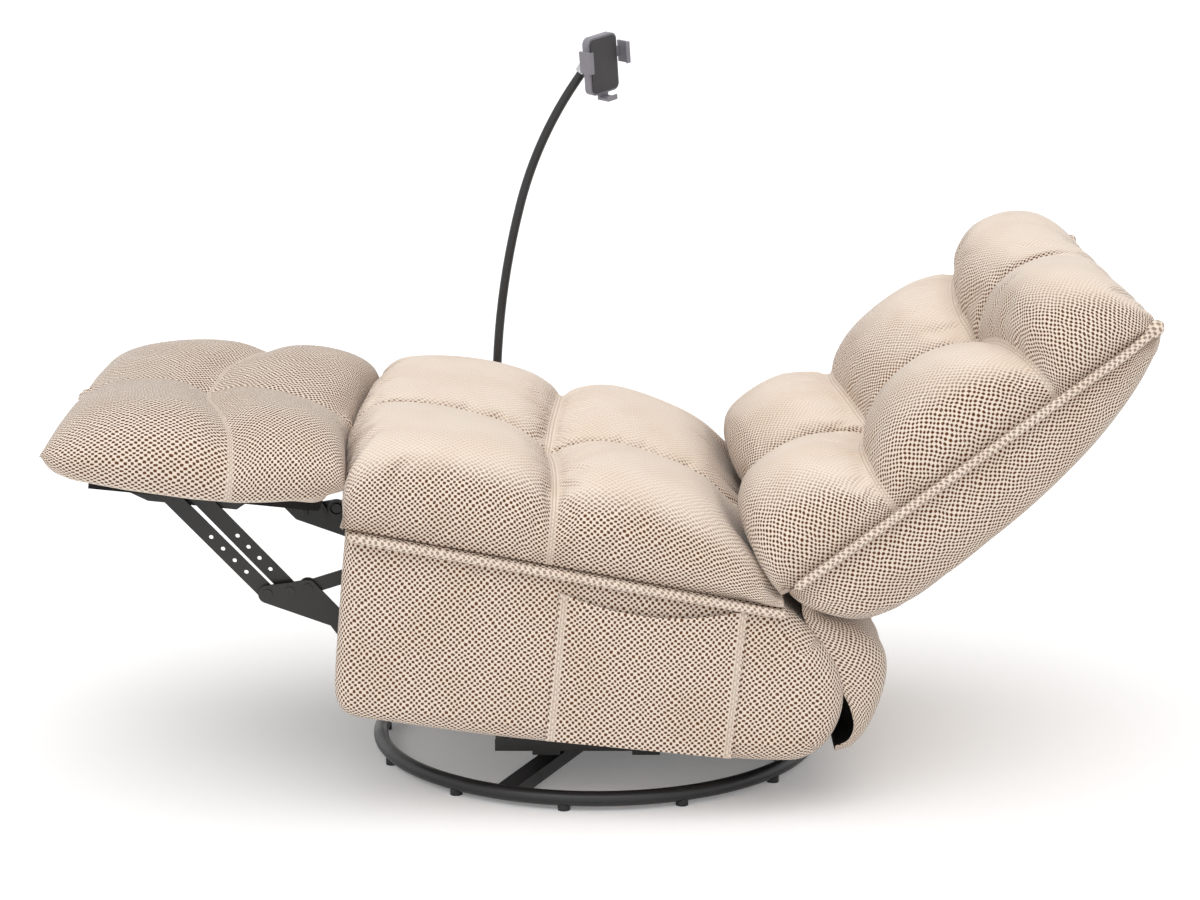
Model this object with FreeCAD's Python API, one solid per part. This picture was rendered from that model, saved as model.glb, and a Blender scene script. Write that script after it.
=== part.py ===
import FreeCAD, Part
import math
import os

# Power swivel rocker recliner, shown laid back with the footrest out.
# Millimetres, +Z up. The origin is the centre of the base ring on the floor. The chair faces -X and
# the occupant's left side is -Y. Everything above the rocker is drawn level and then tilted back
# about the rocking axis, because the chair rests rocked back.

# Rocking
rock_back_deg = 5.8
rock_pivot_z = 125.0
fit_gap = 0.3
run_gap = 0.05
overrun = 40.0

# Base ring, crossbars and glides
ring_radius = 325.0
ring_tube_r = 11.0
glide_height = 6.0
glide_r = 9.0
glide_count = 12
glide_first_deg = 22.0
bar_width = 30.0
bar_height = 20.0
bar_wall = 1.5
bar_first_deg = 67.0
ring_z = glide_height + ring_tube_r

# Swivel bearing
race_radius = 105.0
race_thick = 4.0
ball_circle_r = 85.0
ball_radius = 5.0
ball_count = 20
king_bolt_r = 8.0
king_head_r = 14.0
king_head_h = 7.0
king_nut_h = 5.0
lower_race_z = ring_z + bar_height / 2
upper_race_z = lower_race_z + race_thick + 2 * ball_radius
race_top_z = upper_race_z + race_thick

# Rocker base that turns on the bearing
member_thick = 6.0
member_width = 40.0
member_x = 72.0
rail_y = 200.0
rail_width = 30.0
rail_height = 33.0
rail_wall = 2.0
rail_half = 146.0
rail_chamfer = 16.0
rail_bolt_r = 6.0
rail_bolt_h = 4.0
rail_bottom_z = race_top_z + member_thick
rail_top_z = rail_bottom_z + rail_height

# Rocker cams, the cross tubes that carry them, and the rocker springs
cam_thick = 8.0
cam_flank_deg = 14.0
cam_top_z = 162.0
tube_side = 25.0
tube_wall = 2.0
front_tube_x = 125.0
tail_tube_x = 258.0
tail_tube_z = 190.0
tube_low_z = cam_top_z - tube_side
spring_wire_r = 2.2
spring_coil_r = 9.0
spring_turns = 4

# Side boxes
box_inner_y = 250.0
box_outer_y = 364.0
panel_thick = 12.0
cover_thick = 12.0
pad_wrap = 10.0
side_front_x = 371.0
side_front_low_x = 350.0
side_front_z = 384.0
side_front_low_z = 118.0
side_front_radius_x = 366.0
side_front_radius_z = 138.0
side_mid_x = 69.0
side_mid_z = 106.0
side_rear_x = 239.0
side_rear_z = 335.0
bulge_high_x = 301.0
bulge_high_z = 281.0
bulge_x = 338.0
bulge_z = 205.0
bulge_low_x = 325.0
bulge_low_z = 145.0
side_rear_low_x = 286.0
side_rear_low_z = 111.0
block_thick = 20.0

# Linkage layers, counted inwards from the side box
link_thick = 4.0
link_gap = 2.0
rivet_r = 4.0
rivet_head_r = 7.5
rivet_head_h = 1.5

# Pivot points of the footrest linkage, level frame
carry_x, carry_z = 305.0, 134.0
knee_front_x, knee_front_z = 480.0, 245.0
knee_rear_x, knee_rear_z = 449.0, 252.0
drive_pin_x, drive_pin_z = 424.0, 259.0
carry_bend_x, carry_bend_z = 380.0, 220.0
board_front_pin_x, board_front_pin_z = 628.0, 372.0
board_rear_pin_x, board_rear_pin_z = 588.0, 374.0
torque_x, torque_z = 200.0, 210.0
arm_tip_x, arm_tip_z = 314.0, 307.0
carry_half = 13.0
long_link_half = 11.5
drive_half = 10.0
arm_half = 10.0
open_eye_extra = 6.0
link_hole_r = 3.2
link_hole_shares = (0.22, 0.34, 0.46, 0.58)

# Torque tube, its crank and the linear actuator
torque_r = 12.7
torque_wall = 2.0
crank_radius = 60.0
crank_deg = 155.0
crank_thick = 6.0
crank_gap = 12.0
crank_half = 15.0
crank_slot_back = 17.0
crank_slot_extra = 3.4
actuator_x, actuator_z = 230.0, 190.0
actuator_pin_r = 6.0
actuator_eye_r = 14.0
actuator_eye_half = 12.0
gearbox_length = 74.0
gearbox_start = 16.0
gearbox_half_y = 32.0
gearbox_half_z = 28.0
gearbox_round = 8.0
motor_r = 23.0
motor_length = 118.0
motor_lift = 43.0
outer_tube_r = 17.0
outer_tube_end = 372.0
outer_tube_bore_end = 128.0
rod_r = 7.0
rod_start = 205.0
rod_eye_r = 13.0
rod_eye_half = 10.0
ear_gap = 12.6
ear_thick = 5.0
inlet_r = 5.5
inlet_bore_r = 2.75
inlet_length = 12.0

# Mechanism side plate
plate_front_x = 332.0
plate_low_z = 116.0
plate_front_z = 165.0
plate_shoulder_x = 245.0
plate_shoulder_z = 244.0
plate_top_z = 262.0
plate_back_top_x = 110.0
plate_tail_x = 276.0
plate_tail_z = 300.0
plate_tail_low_x = 150.0
riser_half = 18.0
riser_foot_x, riser_foot_z = 240.0, 306.0

# Back hinge and the slotted stay links
back_pivot_x, back_pivot_z = 205.0, 425.0
stay_pin_x, stay_pin_z = 236.0, 328.0
stay_stud_x, stay_stud_z = 80.0, 258.0
stay_half = 13.0
stay_slot_half = 8.2
stay_slot_over = 6.0
stay_travel = 57.0
bracket_half = 14.0

# Rails, springs and deck of the seat
front_rail_x = 336.0
front_rail_thick = 18.0
front_rail_low_z = 268.0
front_rail_half = 214.0
front_bar_thick = 12.0
front_bar_depth = 30.0
rear_rail_x = 190.0
rear_rail_thick = 18.0
rear_rail_low_z = 215.0
rear_rail_shoulder_z = 276.0
rear_rail_half = 226.0
rear_rail_notch_half = 42.0
rear_rail_notch_z = 268.0
deck_thick = 5.0
deck_wire_r = 1.9
deck_wire_count = 7
deck_wire_pitch = 58.0
deck_loop_half = 20.0
deck_loop_r = 7.0

# Seat cushion
seat_front_x = 395.0
seat_seam_x = 108.0
seat_rear_x = 203.0
seat_crown = 154.0
seat_side_out = 14.0
seat_edge_in = 42.0
seat_crown_y = 190.0
seat_rear_clear_r = 78.0
side_mid_share = 0.42
under_trim = 2.0
seat_front_shares = (
    (0.0, 0.50, 0.44, 0.42), (0.08, 0.74, 0.65, 0.62), (0.36, 0.89, 0.70, 0.70), (0.70, 0.92, 0.62, 0.70),
    (1.0, 0.86, 0.46, 0.62))
seat_rear_shares = (
    (0.0, 0.86, 0.46, 0.62), (0.28, 0.92, 0.52, 0.70), (0.60, 0.84, 0.49, 0.62), (0.82, 0.68, 0.45, 0.50),
    (1.0, 0.48, 0.40, 0.34))

# Footrest
foot_front_x = 800.0
foot_seam_x = 568.0
foot_rear_x = 399.0
foot_bottom_z = 401.0
foot_crown = 118.0
foot_half = 318.0
foot_side_out = 28.0
foot_edge_in = 26.0
foot_crown_y = 180.0
foot_front_shares = (
    (0.0, 0.44, 0.36, 0.32), (0.10, 0.72, 0.60, 0.54), (0.42, 0.92, 0.69, 0.66), (0.75, 0.98, 0.69, 0.66),
    (1.0, 0.93, 0.60, 0.60))
foot_rear_shares = (
    (0.0, 0.93, 0.60, 0.60), (0.35, 0.99, 0.67, 0.66), (0.75, 0.92, 0.60, 0.60), (1.0, 0.72, 0.42, 0.44))
foot_tip_lift = 22.0
board_thick = 15.0
board_front_x = 735.0
board_rear_x = 414.0
board_half = 292.0
board_groove_half = 64.0
foot_bracket_front_x = 720.0
foot_bracket_rear_x = 508.0
foot_bracket_depth = 26.0
foot_bracket_flange = 26.0
foot_bracket_nose = 60.0

# Back, in its own frame: along the welt and square to it
back_low_x, back_low_z = 249.0, 365.0
back_deg = 42.4
back_length = 600.0
back_half = 372.0
back_thick = 150.0
back_side_out = 14.0
back_edge_in = 40.0
back_crown_y = 190.0
back_lumbar_seam = 184.0
back_head_seam = 397.0
back_lumbar_low = -12.0
lumbar_shares = (
    (0.0, 0.66, 0.34, 0.40), (0.30, 0.98, 0.48, 0.66), (0.65, 0.96, 0.44, 0.68), (1.0, 0.77, 0.23, 0.56))
middle_shares = (
    (0.0, 0.77, 0.23, 0.56), (0.33, 0.93, 0.33, 0.65), (0.67, 0.96, 0.34, 0.66), (1.0, 0.86, 0.28, 0.60))
head_shares = (
    (0.0, 0.86, 0.28, 0.60), (0.33, 1.0, 0.55, 0.70), (0.67, 0.88, 0.62, 0.62), (0.88, 0.60, 0.48, 0.42),
    (1.0, 0.26, 0.22, 0.20))
rear_depth = 130.0
rear_start = -10.0
rear_side_out = 12.0
rear_edge_in = 20.0
rear_side_share = 0.45
rear_edge_share = 0.9
rear_shares = (
    (0.0, 0.10), (0.05, 0.62), (0.12, 0.93), (0.25, 1.0), (0.50, 0.93), (0.70, 0.80),
    (0.85, 0.55), (0.95, 0.30), (1.0, 0.10))
frame_rail_thick = 30.0
frame_rail_depth = 44.0
frame_low = 26.0
frame_high = 560.0
frame_cross_width = 34.0
frame_cross_shares = (0.0, 0.36, 0.70, 1.0)
pocket_clear = 2.0
strap_thick = 2.0
strap_width = 50.0
strap_count = 5
strap_margin = 50.0
slot_half = 18.5
slot_low = -60.0
slot_high = 116.0
slot_deep = 104.0
bracket_run = 190.0
bracket_drop = 20.0

# Welts
welt_r = 5.5
seat_welt_front = 366.0
seat_welt_rear = 232.0

# Side pockets
side_pocket_front_x = 73.0
side_pocket_rear_x = 190.0
side_pocket_low_z = 114.0
side_pocket_mouth_z = 324.0
side_pocket_sag = 27.0
side_pocket_depth = 7.0
side_pocket_cloth = 1.8

# Cloth that closes the rear below the back
flap_thick = 4.0
flap_half = 345.0
flap_top_x, flap_top_z = 268.0, 314.1
flap_mid_x, flap_mid_z = 352.0, 300.0
flap_bulge_x, flap_bulge_z = 394.0, 250.0
flap_low_mid_x, flap_low_mid_z = 388.0, 190.0
flap_low_x, flap_low_z = 354.0, 134.0

# Control on the occupant's right
control_x, control_z = 290.0, 300.0
control_length = 112.0
control_height = 34.0
control_recess = 8.0
control_rim = 2.0
control_lip = 4.0
button_length = 24.0
button_height = 16.0
button_stand = 2.2
button_spacing = 31.0
button_back = 3.4
button_travel = 2.0
button_round_share = 0.25
upright_share = 0.9
usb_width = 13.0
usb_height = 6.0

# Gooseneck and its socket
neck_x = 193.4
neck_y = 405.0
neck_z = 299.0
neck_r = 7.2
neck_spigot_r = 6.0
neck_spigot = 28.0
neck_runs = (60.0, 120.0, 264.0, 216.0, 14.0)
neck_turns_deg = (0.0, -3.3, 12.0, 20.0, 0.0)
socket_r = 13.0
socket_height = 46.0
socket_plate_height = 90.0
socket_plate_width = 46.0
socket_plate_thick = 4.0
socket_screw_r = 5.0
socket_screw_h = 3.0

# Phone holder on the gooseneck's ball
ball_r = 7.0
nut_r = 11.5
nut_height = 17.0
holder_yaw_deg = 45.0
holder_roll_deg = -13.3
stud_reach = 20.0
stud_r = 3.0
cup_r = 11.0
cup_back = 11.0
cup_mouth = 3.0
turn_pin_r = 5.0
turn_pin_length = 4.0
holder_width = 62.0
holder_height = 92.0
holder_depth = 13.0
holder_round = 11.0
holder_rise = 14.0
pad_inset = 3.5
pad_thick = 2.0
jaw_bar_height = 16.0
jaw_bar_depth = 4.0
jaw_bar_in = 24.0
jaw_reach = 13.0
jaw_lip = 20.0
jaw_height = 34.0
jaw_thick = 4.0
jaw_rise = 12.0
foot_bar_width = 20.0
foot_bar_in = 30.0
foot_reach = 10.0
foot_lip = 20.0
foot_lip_thick = 4.0

y_axis = FreeCAD.Vector(0, 1, 0)
z_axis = FreeCAD.Vector(0, 0, 1)
origin = FreeCAD.Vector(0, 0, 0)
rock_pivot = FreeCAD.Vector(0, 0, rock_pivot_z)

carry_pin = (-carry_x, carry_z)
knee_front = (-knee_front_x, knee_front_z)
knee_rear = (-knee_rear_x, knee_rear_z)
drive_pin = (-drive_pin_x, drive_pin_z)
carry_bend = (-carry_bend_x, carry_bend_z)
board_front_pin = (-board_front_pin_x, board_front_pin_z)
board_rear_pin = (-board_rear_pin_x, board_rear_pin_z)
torque_pin = (-torque_x, torque_z)
arm_tip = (-arm_tip_x, arm_tip_z)
actuator_pin = (actuator_x, actuator_z)
back_pivot = (back_pivot_x, back_pivot_z)
stay_pin = (stay_pin_x, stay_pin_z)
stay_stud = (stay_stud_x, stay_stud_z)
riser_foot = (riser_foot_x, riser_foot_z)
cover_y = box_outer_y + cover_thick
crank_pin = (torque_pin[0] + crank_radius * math.cos(math.radians(crank_deg)),
             torque_pin[1] + crank_radius * math.sin(math.radians(crank_deg)))
rod_reach = math.dist(actuator_pin, crank_pin)
rod_lean_deg = math.degrees(math.atan2(crank_pin[1] - actuator_pin[1], actuator_pin[0] - crank_pin[0]))
welt_lean_deg = math.degrees(math.atan2(side_front_z - side_rear_z, side_front_x + side_rear_x))


def vec(x, y, z):
    return FreeCAD.Vector(x, y, z)


def block(x0, x1, y0, y1, z0, z1):
    """A box between two corners."""
    return Part.makeBox(x1 - x0, y1 - y0, z1 - z0, vec(x0, y0, z0))


def rod(start, direction, length, radius):
    return Part.makeCylinder(radius, length, start, direction)


def pin(point, radius, y0, y1):
    """A round bar along Y through a point of the side view."""
    return rod(vec(point[0], y0, point[1]), y_axis, y1 - y0, radius)


def prism(points, y0, y1):
    """A closed outline of the side view, drawn out along Y."""
    corners = [vec(x, y0, z) for x, z in points]
    return Part.Face(Part.makePolygon(corners + corners[:1])).extrude(vec(0, y1 - y0, 0))


def bar(start, end, half, y0, y1):
    """A flat bar with round ends between two points of the side view."""
    length = math.dist(start, end)
    ux, uz = (end[0] - start[0]) / length, (end[1] - start[1]) / length
    a = vec(start[0], y0, start[1])
    b = vec(end[0], y0, end[1])
    side = vec(-uz, 0, ux) * half
    nose = vec(ux, 0, uz) * half
    edges = [Part.LineSegment(a + side, b + side), Part.Arc(b + side, b + nose, b - side),
             Part.LineSegment(b - side, a - side), Part.Arc(a - side, a - nose, a + side)]
    face = Part.Face(Part.Wire([edge.toShape() for edge in edges]))
    return face.extrude(vec(0, y1 - y0, 0))


def join(shapes):
    first = shapes[0]
    return first.fuse(shapes[1:]).removeSplitter()


def group(shapes):
    return Part.makeCompound(shapes)


def mirrored(shape):
    return shape.mirror(origin, y_axis)


def both(shape):
    """A piece on the occupant's right and its twin on the left."""
    return group([shape, mirrored(shape)])


def between(start, end, share):
    return (start[0] + (end[0] - start[0]) * share, start[1] + (end[1] - start[1]) * share)


def layer(number):
    """Inner and outer Y of a linkage layer, counted inwards from the side box."""
    outer = box_inner_y - fit_gap - number * (link_thick + link_gap)
    return outer - link_thick, outer


def rivet(point, first, last):
    """A headed rivet that joins the linkage layers first to last."""
    inner = layer(last)[0]
    outer = layer(first)[1]
    shank = pin(point, rivet_r, inner, outer)
    low = pin(point, rivet_head_r, inner - rivet_head_h, inner)
    high = pin(point, rivet_head_r, outer, outer + rivet_head_h)
    return join([shank, low, high])


def tilted(shape):
    """Rock a level piece back to the rest pose."""
    shape = shape.copy()
    shape.rotate(rock_pivot, y_axis, rock_back_deg)
    return shape


def rocked(point):
    """The rest place, in X and Z, of a level point of the side view."""
    lean = math.radians(rock_back_deg)
    dx, dz = point[0], point[1] - rock_pivot_z
    return (dx * math.cos(lean) + dz * math.sin(lean),
            rock_pivot_z - dx * math.sin(lean) + dz * math.cos(lean))


def leaned(shape):
    """Move a piece from the back's own frame, along X and out along Z, to the level frame."""
    shape = shape.copy()
    shape.rotate(origin, y_axis, -back_deg)
    shape.translate(vec(back_low_x, 0, back_low_z))
    return shape


def back_place(along, out):
    """A point of the back's own frame in the level side view."""
    lean = math.radians(back_deg)
    return (back_low_x + along * math.cos(lean) - out * math.sin(lean),
            back_low_z + along * math.sin(lean) + out * math.cos(lean))


def sweep(points_and_arcs, radius):
    """A round tube along straight runs and arcs; each entry is (start, end) or (start, mid, end)."""
    edges = []
    for entry in points_and_arcs:
        if len(entry) == 2:
            edges.append(Part.LineSegment(*entry).toShape())
        else:
            edges.append(Part.Arc(*entry).toShape())
    path = Part.Wire(edges)
    start = edges[0].Vertexes[0].Point
    normal = edges[0].tangentAt(edges[0].FirstParameter)
    section = Part.Wire(Part.makeCircle(radius, start, normal))
    return path.makePipeShell([section], True, False)


def puff_section(along, half, side_out, edge_in, low, edge, crown_y, crown, crease):
    """Closed section of a two-panel cushion: flat below, drawn-in sides, two crowned panels."""
    middle = low + (edge - low) * side_mid_share
    points = [vec(along, -half, low), vec(along, half, low), vec(along, half + side_out, middle),
              vec(along, half - edge_in, edge), vec(along, crown_y, crown), vec(along, 0, crease),
              vec(along, -crown_y, crown), vec(along, edge_in - half, edge),
              vec(along, -half - side_out, middle)]
    edges = [Part.LineSegment(points[0], points[1]), Part.Arc(points[1], points[2], points[3]),
             Part.Arc(points[3], points[4], points[5]), Part.Arc(points[5], points[6], points[7]),
             Part.Arc(points[7], points[8], points[0])]
    return Part.Wire([edge_curve.toShape() for edge_curve in edges])


def puff(rows, thick, half, side_out, edge_in, crown_y, low_at):
    """A cushion as one loft; each row of panels gives its two ends and a table of height shares."""
    sections = []
    for start, end, shares in rows:
        for along_share, crown_share, crease_share, edge_share in shares[1 if sections else 0:]:
            along = start + (end - start) * along_share
            low = low_at(along)
            sections.append(puff_section(
                along, half, side_out, edge_in, low, low + thick * edge_share, crown_y,
                low + thick * crown_share, low + thick * crease_share))
    return Part.makeLoft(sections, True, False)


def ring():
    return Part.makeTorus(ring_radius, ring_tube_r, vec(0, 0, ring_z), z_axis)


def crossbars():
    """Two square tubes that cross at the centre, coped to the ring at both ends."""
    half = bar_height / 2
    outer = []
    inner = []
    for turn in (0, 1):
        angle = bar_first_deg + turn * 90.0
        for shapes, trim in ((outer, 0.0), (inner, bar_wall)):
            tube = block(-ring_radius, ring_radius, trim - bar_width / 2, bar_width / 2 - trim,
                         ring_z - half + trim, ring_z + half - trim)
            tube.rotate(origin, z_axis, angle)
            shapes.append(tube)
    reach = rod(vec(0, 0, -overrun), z_axis, ring_z + 2 * overrun, ring_radius)
    cope = Part.makeTorus(ring_radius, ring_tube_r + fit_gap, vec(0, 0, ring_z), z_axis)
    hub = rod(vec(0, 0, ring_z - half + bar_wall), z_axis, bar_height - 2 * bar_wall, king_head_r + bar_wall)
    bore = rod(vec(0, 0, 0), z_axis, ring_z + overrun, king_bolt_r + run_gap)
    shell = join(outer).cut(join(inner)).fuse(hub).removeSplitter()
    return shell.common(reach).cut(cope).cut(bore)


def glides():
    """Plastic feet clipped under the ring."""
    feet = []
    cope = Part.makeTorus(ring_radius, ring_tube_r + fit_gap, vec(0, 0, ring_z), z_axis)
    for number in range(glide_count):
        angle = math.radians(glide_first_deg + number * 360.0 / glide_count)
        foot = rod(vec(ring_radius * math.cos(angle), ring_radius * math.sin(angle), 0), z_axis,
                   ring_z - ring_tube_r / 2, glide_r)
        feet.append(foot.cut(cope))
    return group(feet)


def race(low_z, bore_r):
    plate = rod(vec(0, 0, low_z), z_axis, race_thick, race_radius)
    return plate.cut(rod(vec(0, 0, low_z - overrun), z_axis, 2 * overrun, bore_r))


def balls():
    shapes = []
    for number in range(ball_count):
        angle = 2 * math.pi * number / ball_count
        centre = vec(ball_circle_r * math.cos(angle), ball_circle_r * math.sin(angle),
                     lower_race_z + race_thick + ball_radius)
        shapes.append(Part.makeSphere(ball_radius - run_gap, centre))
    return group(shapes)


def king_bolt():
    """Bolt through the crossbars and both races, headed above the upper race."""
    bottom = ring_z - bar_height / 2 - king_nut_h
    head_z = race_top_z + fit_gap
    shank = rod(vec(0, 0, bottom), z_axis, head_z - bottom + king_head_h / 2, king_bolt_r)
    head = rod(vec(0, 0, head_z), z_axis, king_head_h, king_head_r)
    nut = rod(vec(0, 0, bottom), z_axis, king_nut_h - fit_gap, king_head_r)
    return join([shank, head, nut])


def rocker_members():
    half = member_width / 2
    reach = rail_y + rail_width / 2
    bars = []
    for side in (-1, 1):
        x = side * member_x
        bars.append(block(x - half, x + half, -reach, reach, race_top_z, race_top_z + member_thick))
    return group(bars)


def rocker_rails():
    """Square tubes that the cams rock on, with a sloped front end and a bolt head."""
    low, high = rail_bottom_z, rail_top_z
    y0, y1 = rail_y - rail_width / 2, rail_y + rail_width / 2
    points = [(-rail_half, low), (rail_half, low), (rail_half, high),
              (rail_chamfer - rail_half, high), (-rail_half, high - rail_chamfer)]
    tube = prism(points, y0, y1)
    hollow = block(-rail_half - overrun, rail_half + overrun, y0 + rail_wall, y1 - rail_wall,
                   low + rail_wall, high - rail_wall)
    bolt = pin((rail_chamfer + rail_bolt_r - rail_half, (low + high) / 2), rail_bolt_r, y1, y1 + rail_bolt_h)
    return both(join([tube.cut(hollow), bolt]))


def arc_mid(start, tangent, end):
    """Middle point of the arc that leaves start along tangent and ends at end."""
    chord = end - start
    unit = FreeCAD.Vector(chord).normalize()
    side = tangent - unit * tangent.dot(unit)
    if side.Length < 1e-9:
        return (start + end) * 0.5
    side.normalize()
    half_turn = math.acos(max(-1.0, min(1.0, tangent.dot(unit))))
    return (start + end) * 0.5 + side * (chord.Length / 2 * math.tan(half_turn / 2))


def coil(centre, low_z, high_z, radius, wire_r, turns):
    """A coil spring: quarter turns, each of two arcs that meet smoothly."""
    rise = (high_z - low_z - 2 * wire_r) / (turns * 4)
    flat = math.pi / 2 * radius
    slope = math.atan2(rise, flat)

    def place(step):
        angle = step * math.pi / 2
        return vec(centre[0] + radius * math.cos(angle), centre[1] + radius * math.sin(angle),
                   low_z + wire_r + rise * step)

    def heading(step):
        angle = step * math.pi / 2
        return vec(-math.sin(angle) * math.cos(slope), math.cos(angle) * math.cos(slope), math.sin(slope))

    entries = []
    for step in range(turns * 4):
        a, b = place(step), place(step + 1)
        ta, tb = heading(step), heading(step + 1)
        gap = b - a
        both_t = ta + tb
        open_t = 2 * (1 - ta.dot(tb))
        reach = (math.sqrt(gap.dot(both_t) ** 2 + open_t * gap.dot(gap)) - gap.dot(both_t)) / open_t
        joint = (a + b + (ta - tb) * reach) * 0.5
        back_mid = arc_mid(b, tb * -1, joint)
        entries.append((a, arc_mid(a, ta, joint), joint))
        entries.append((joint, back_mid, b))
    return sweep(entries, wire_r)


def rocker_springs():
    """Four coil springs between the rails and the cross tubes."""
    shapes = []
    for side in (-1, 1):
        under = rocked((side * front_tube_x, tube_low_z))[1]
        lean = spring_coil_r * math.tan(math.radians(rock_back_deg))
        high = under - lean - fit_gap
        shapes.append(coil((side * front_tube_x, rail_y), rail_top_z + fit_gap, high,
                           spring_coil_r, spring_wire_r, spring_turns))
    return group(shapes + [mirrored(shape) for shape in shapes])


def cams():
    """Plates whose round nose rests on the rails, welded between the cross tubes."""
    nose = rock_pivot_z - rail_top_z - fit_gap
    lean = math.radians(cam_flank_deg)
    end_x = front_tube_x - tube_side / 2 - fit_gap
    touch = (nose * math.sin(lean), rock_pivot_z - nose * math.cos(lean))
    end_z = touch[1] + (end_x - touch[0]) * math.tan(lean)
    y0 = rail_y - cam_thick / 2
    corner = [vec(end_x, y0, end_z), vec(end_x, y0, cam_top_z), vec(-end_x, y0, cam_top_z),
              vec(-end_x, y0, end_z), vec(-touch[0], y0, touch[1]), vec(touch[0], y0, touch[1])]
    edges = [Part.LineSegment(corner[0], corner[1]), Part.LineSegment(corner[1], corner[2]),
             Part.LineSegment(corner[2], corner[3]), Part.LineSegment(corner[3], corner[4]),
             Part.Arc(corner[4], vec(0, y0, rock_pivot_z - nose), corner[5]),
             Part.LineSegment(corner[5], corner[0])]
    face = Part.Face(Part.Wire([edge.toShape() for edge in edges]))
    return both(face.extrude(vec(0, cam_thick, 0)))


def square_tube(x, z):
    half = tube_side / 2
    reach = layer(0)[0] - fit_gap
    tube = block(x - half, x + half, -reach, reach, z - half, z + half)
    inner = half - tube_wall
    return tube.cut(block(x - inner, x + inner, -reach - overrun, reach + overrun, z - inner, z + inner))


def cross_tubes():
    """Two tubes over the rocker and a rear one with the ears and pin that hold the actuator."""
    middle_z = cam_top_z - tube_side / 2
    front = square_tube(-front_tube_x, middle_z)
    rear = square_tube(front_tube_x, middle_z)
    tail = square_tube(tail_tube_x, tail_tube_z)
    ears = []
    for y0 in (ear_gap, -ear_gap - ear_thick):
        ear = bar(actuator_pin, (tail_tube_x, tail_tube_z), actuator_eye_r, y0, y0 + ear_thick)
        ears.append(ear)
    gap = tube_side / 2 - tube_wall
    keep = block(tail_tube_x - gap, tail_tube_x + overrun, -overrun, overrun,
                 tail_tube_z - overrun, tail_tube_z + overrun)
    ears = [ear.cut(keep) for ear in ears]
    reach = ear_gap + ear_thick
    axle = pin(actuator_pin, actuator_pin_r - run_gap, -reach, reach)
    return group([front, rear, join([tail] + ears + [axle])])


def plate_outline():
    return [(-plate_front_x, plate_low_z), (-plate_front_x, plate_front_z),
            (-plate_shoulder_x, plate_shoulder_z), (-plate_back_top_x, plate_top_z),
            (plate_back_top_x, plate_top_z), (riser_foot_x - riser_half, plate_tail_z),
            (plate_tail_x, plate_tail_z), (plate_tail_x, plate_front_z),
            (plate_tail_low_x, plate_low_z)]


def side_plates():
    """Steel plates that carry every pivot, with the riser up to the back hinge."""
    y0, y1 = layer(0)
    plate = prism(plate_outline(), y0, y1)
    riser = bar(riser_foot, back_pivot, riser_half, y0, y1)
    plate = join([plate, riser])
    holes = [pin(torque_pin, torque_r + run_gap, y0 - overrun, y1 + overrun)]
    for point in (carry_pin, back_pivot, stay_stud):
        holes.append(pin(point, rivet_r + run_gap, y0 - overrun, y1 + overrun))
    return both(plate.cut(holes))


def flush_rivet(point, last):
    """A rivet set flush in the side plate, headed on the inner side of the layer last."""
    inner = layer(last)[0]
    shank = pin(point, rivet_r, inner, layer(0)[1])
    return shank.fuse(pin(point, rivet_head_r, inner - rivet_head_h, inner)).removeSplitter()


def plate_rivets():
    shapes = [flush_rivet(carry_pin, 1), flush_rivet(back_pivot, 1)]
    inner = layer(2)[0] - link_gap / 2
    stud = pin(stay_stud, rivet_r, inner, layer(0)[1])
    cap = pin(stay_stud, stay_slot_half + rivet_head_h, inner - rivet_head_h, inner)
    shapes.append(stud.fuse(cap).removeSplitter())
    return group([both(shape) for shape in shapes])


def on_welt_line(x, drop=0.0):
    """Height of the seat's welt line at a place along the chair."""
    share = (x + side_front_x) / (side_front_x + side_rear_x)
    return side_front_z + (side_rear_z - side_front_z) * share - drop


def side_outline(inset=0.0, drop=0.0):
    """The side of the chair; inset draws the front, bottom and rear in, drop lowers the top line."""
    front, rear = inset - side_front_x, side_rear_x - inset
    return [(front, on_welt_line(front, drop)), (inset - side_front_radius_x, side_front_radius_z),
            (inset - side_front_low_x, side_front_low_z + inset), (-side_mid_x, side_mid_z + inset),
            (side_rear_low_x - inset, side_rear_low_z + inset), (bulge_low_x - inset, bulge_low_z),
            (bulge_x - inset, bulge_z), (bulge_high_x - inset, bulge_high_z),
            (rear, on_welt_line(rear, drop))]


def side_panels():
    """Plywood inner and outer panels of each side box."""
    outline = side_outline(pad_wrap + fit_gap)
    inner = prism(outline, box_inner_y, box_inner_y + panel_thick)
    outer = prism(outline, box_outer_y - panel_thick, box_outer_y)
    return group([inner, mirrored(inner), outer, mirrored(outer)])


def side_blocks():
    """Timber between the two panels of each box: along the top, front, bottom and rear."""
    wrap = pad_wrap + fit_gap
    y0 = box_inner_y + panel_thick
    y1 = box_outer_y - panel_thick
    outer = prism(side_outline(wrap), y0, y1)
    inner = prism(side_outline(wrap + block_thick, block_thick), y0 - overrun, y1 + overrun)
    return both(outer.cut(inner))


def side_cover(right):
    """Padded cloth over the outside, front, bottom and rear of one side box."""
    outer = prism(side_outline(), box_inner_y, cover_y)
    hollow = prism(side_outline(pad_wrap), box_inner_y - overrun, box_outer_y + fit_gap)
    cover = outer.cut(hollow)
    if not right:
        return mirrored(cover)
    half_x, half_z = control_length / 2 + fit_gap, control_height / 2 + fit_gap
    window = block(-control_x - half_x, half_x - control_x, box_outer_y - overrun, cover_y + overrun,
                   control_z - half_z, control_z + half_z)
    return cover.cut(window)


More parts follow.
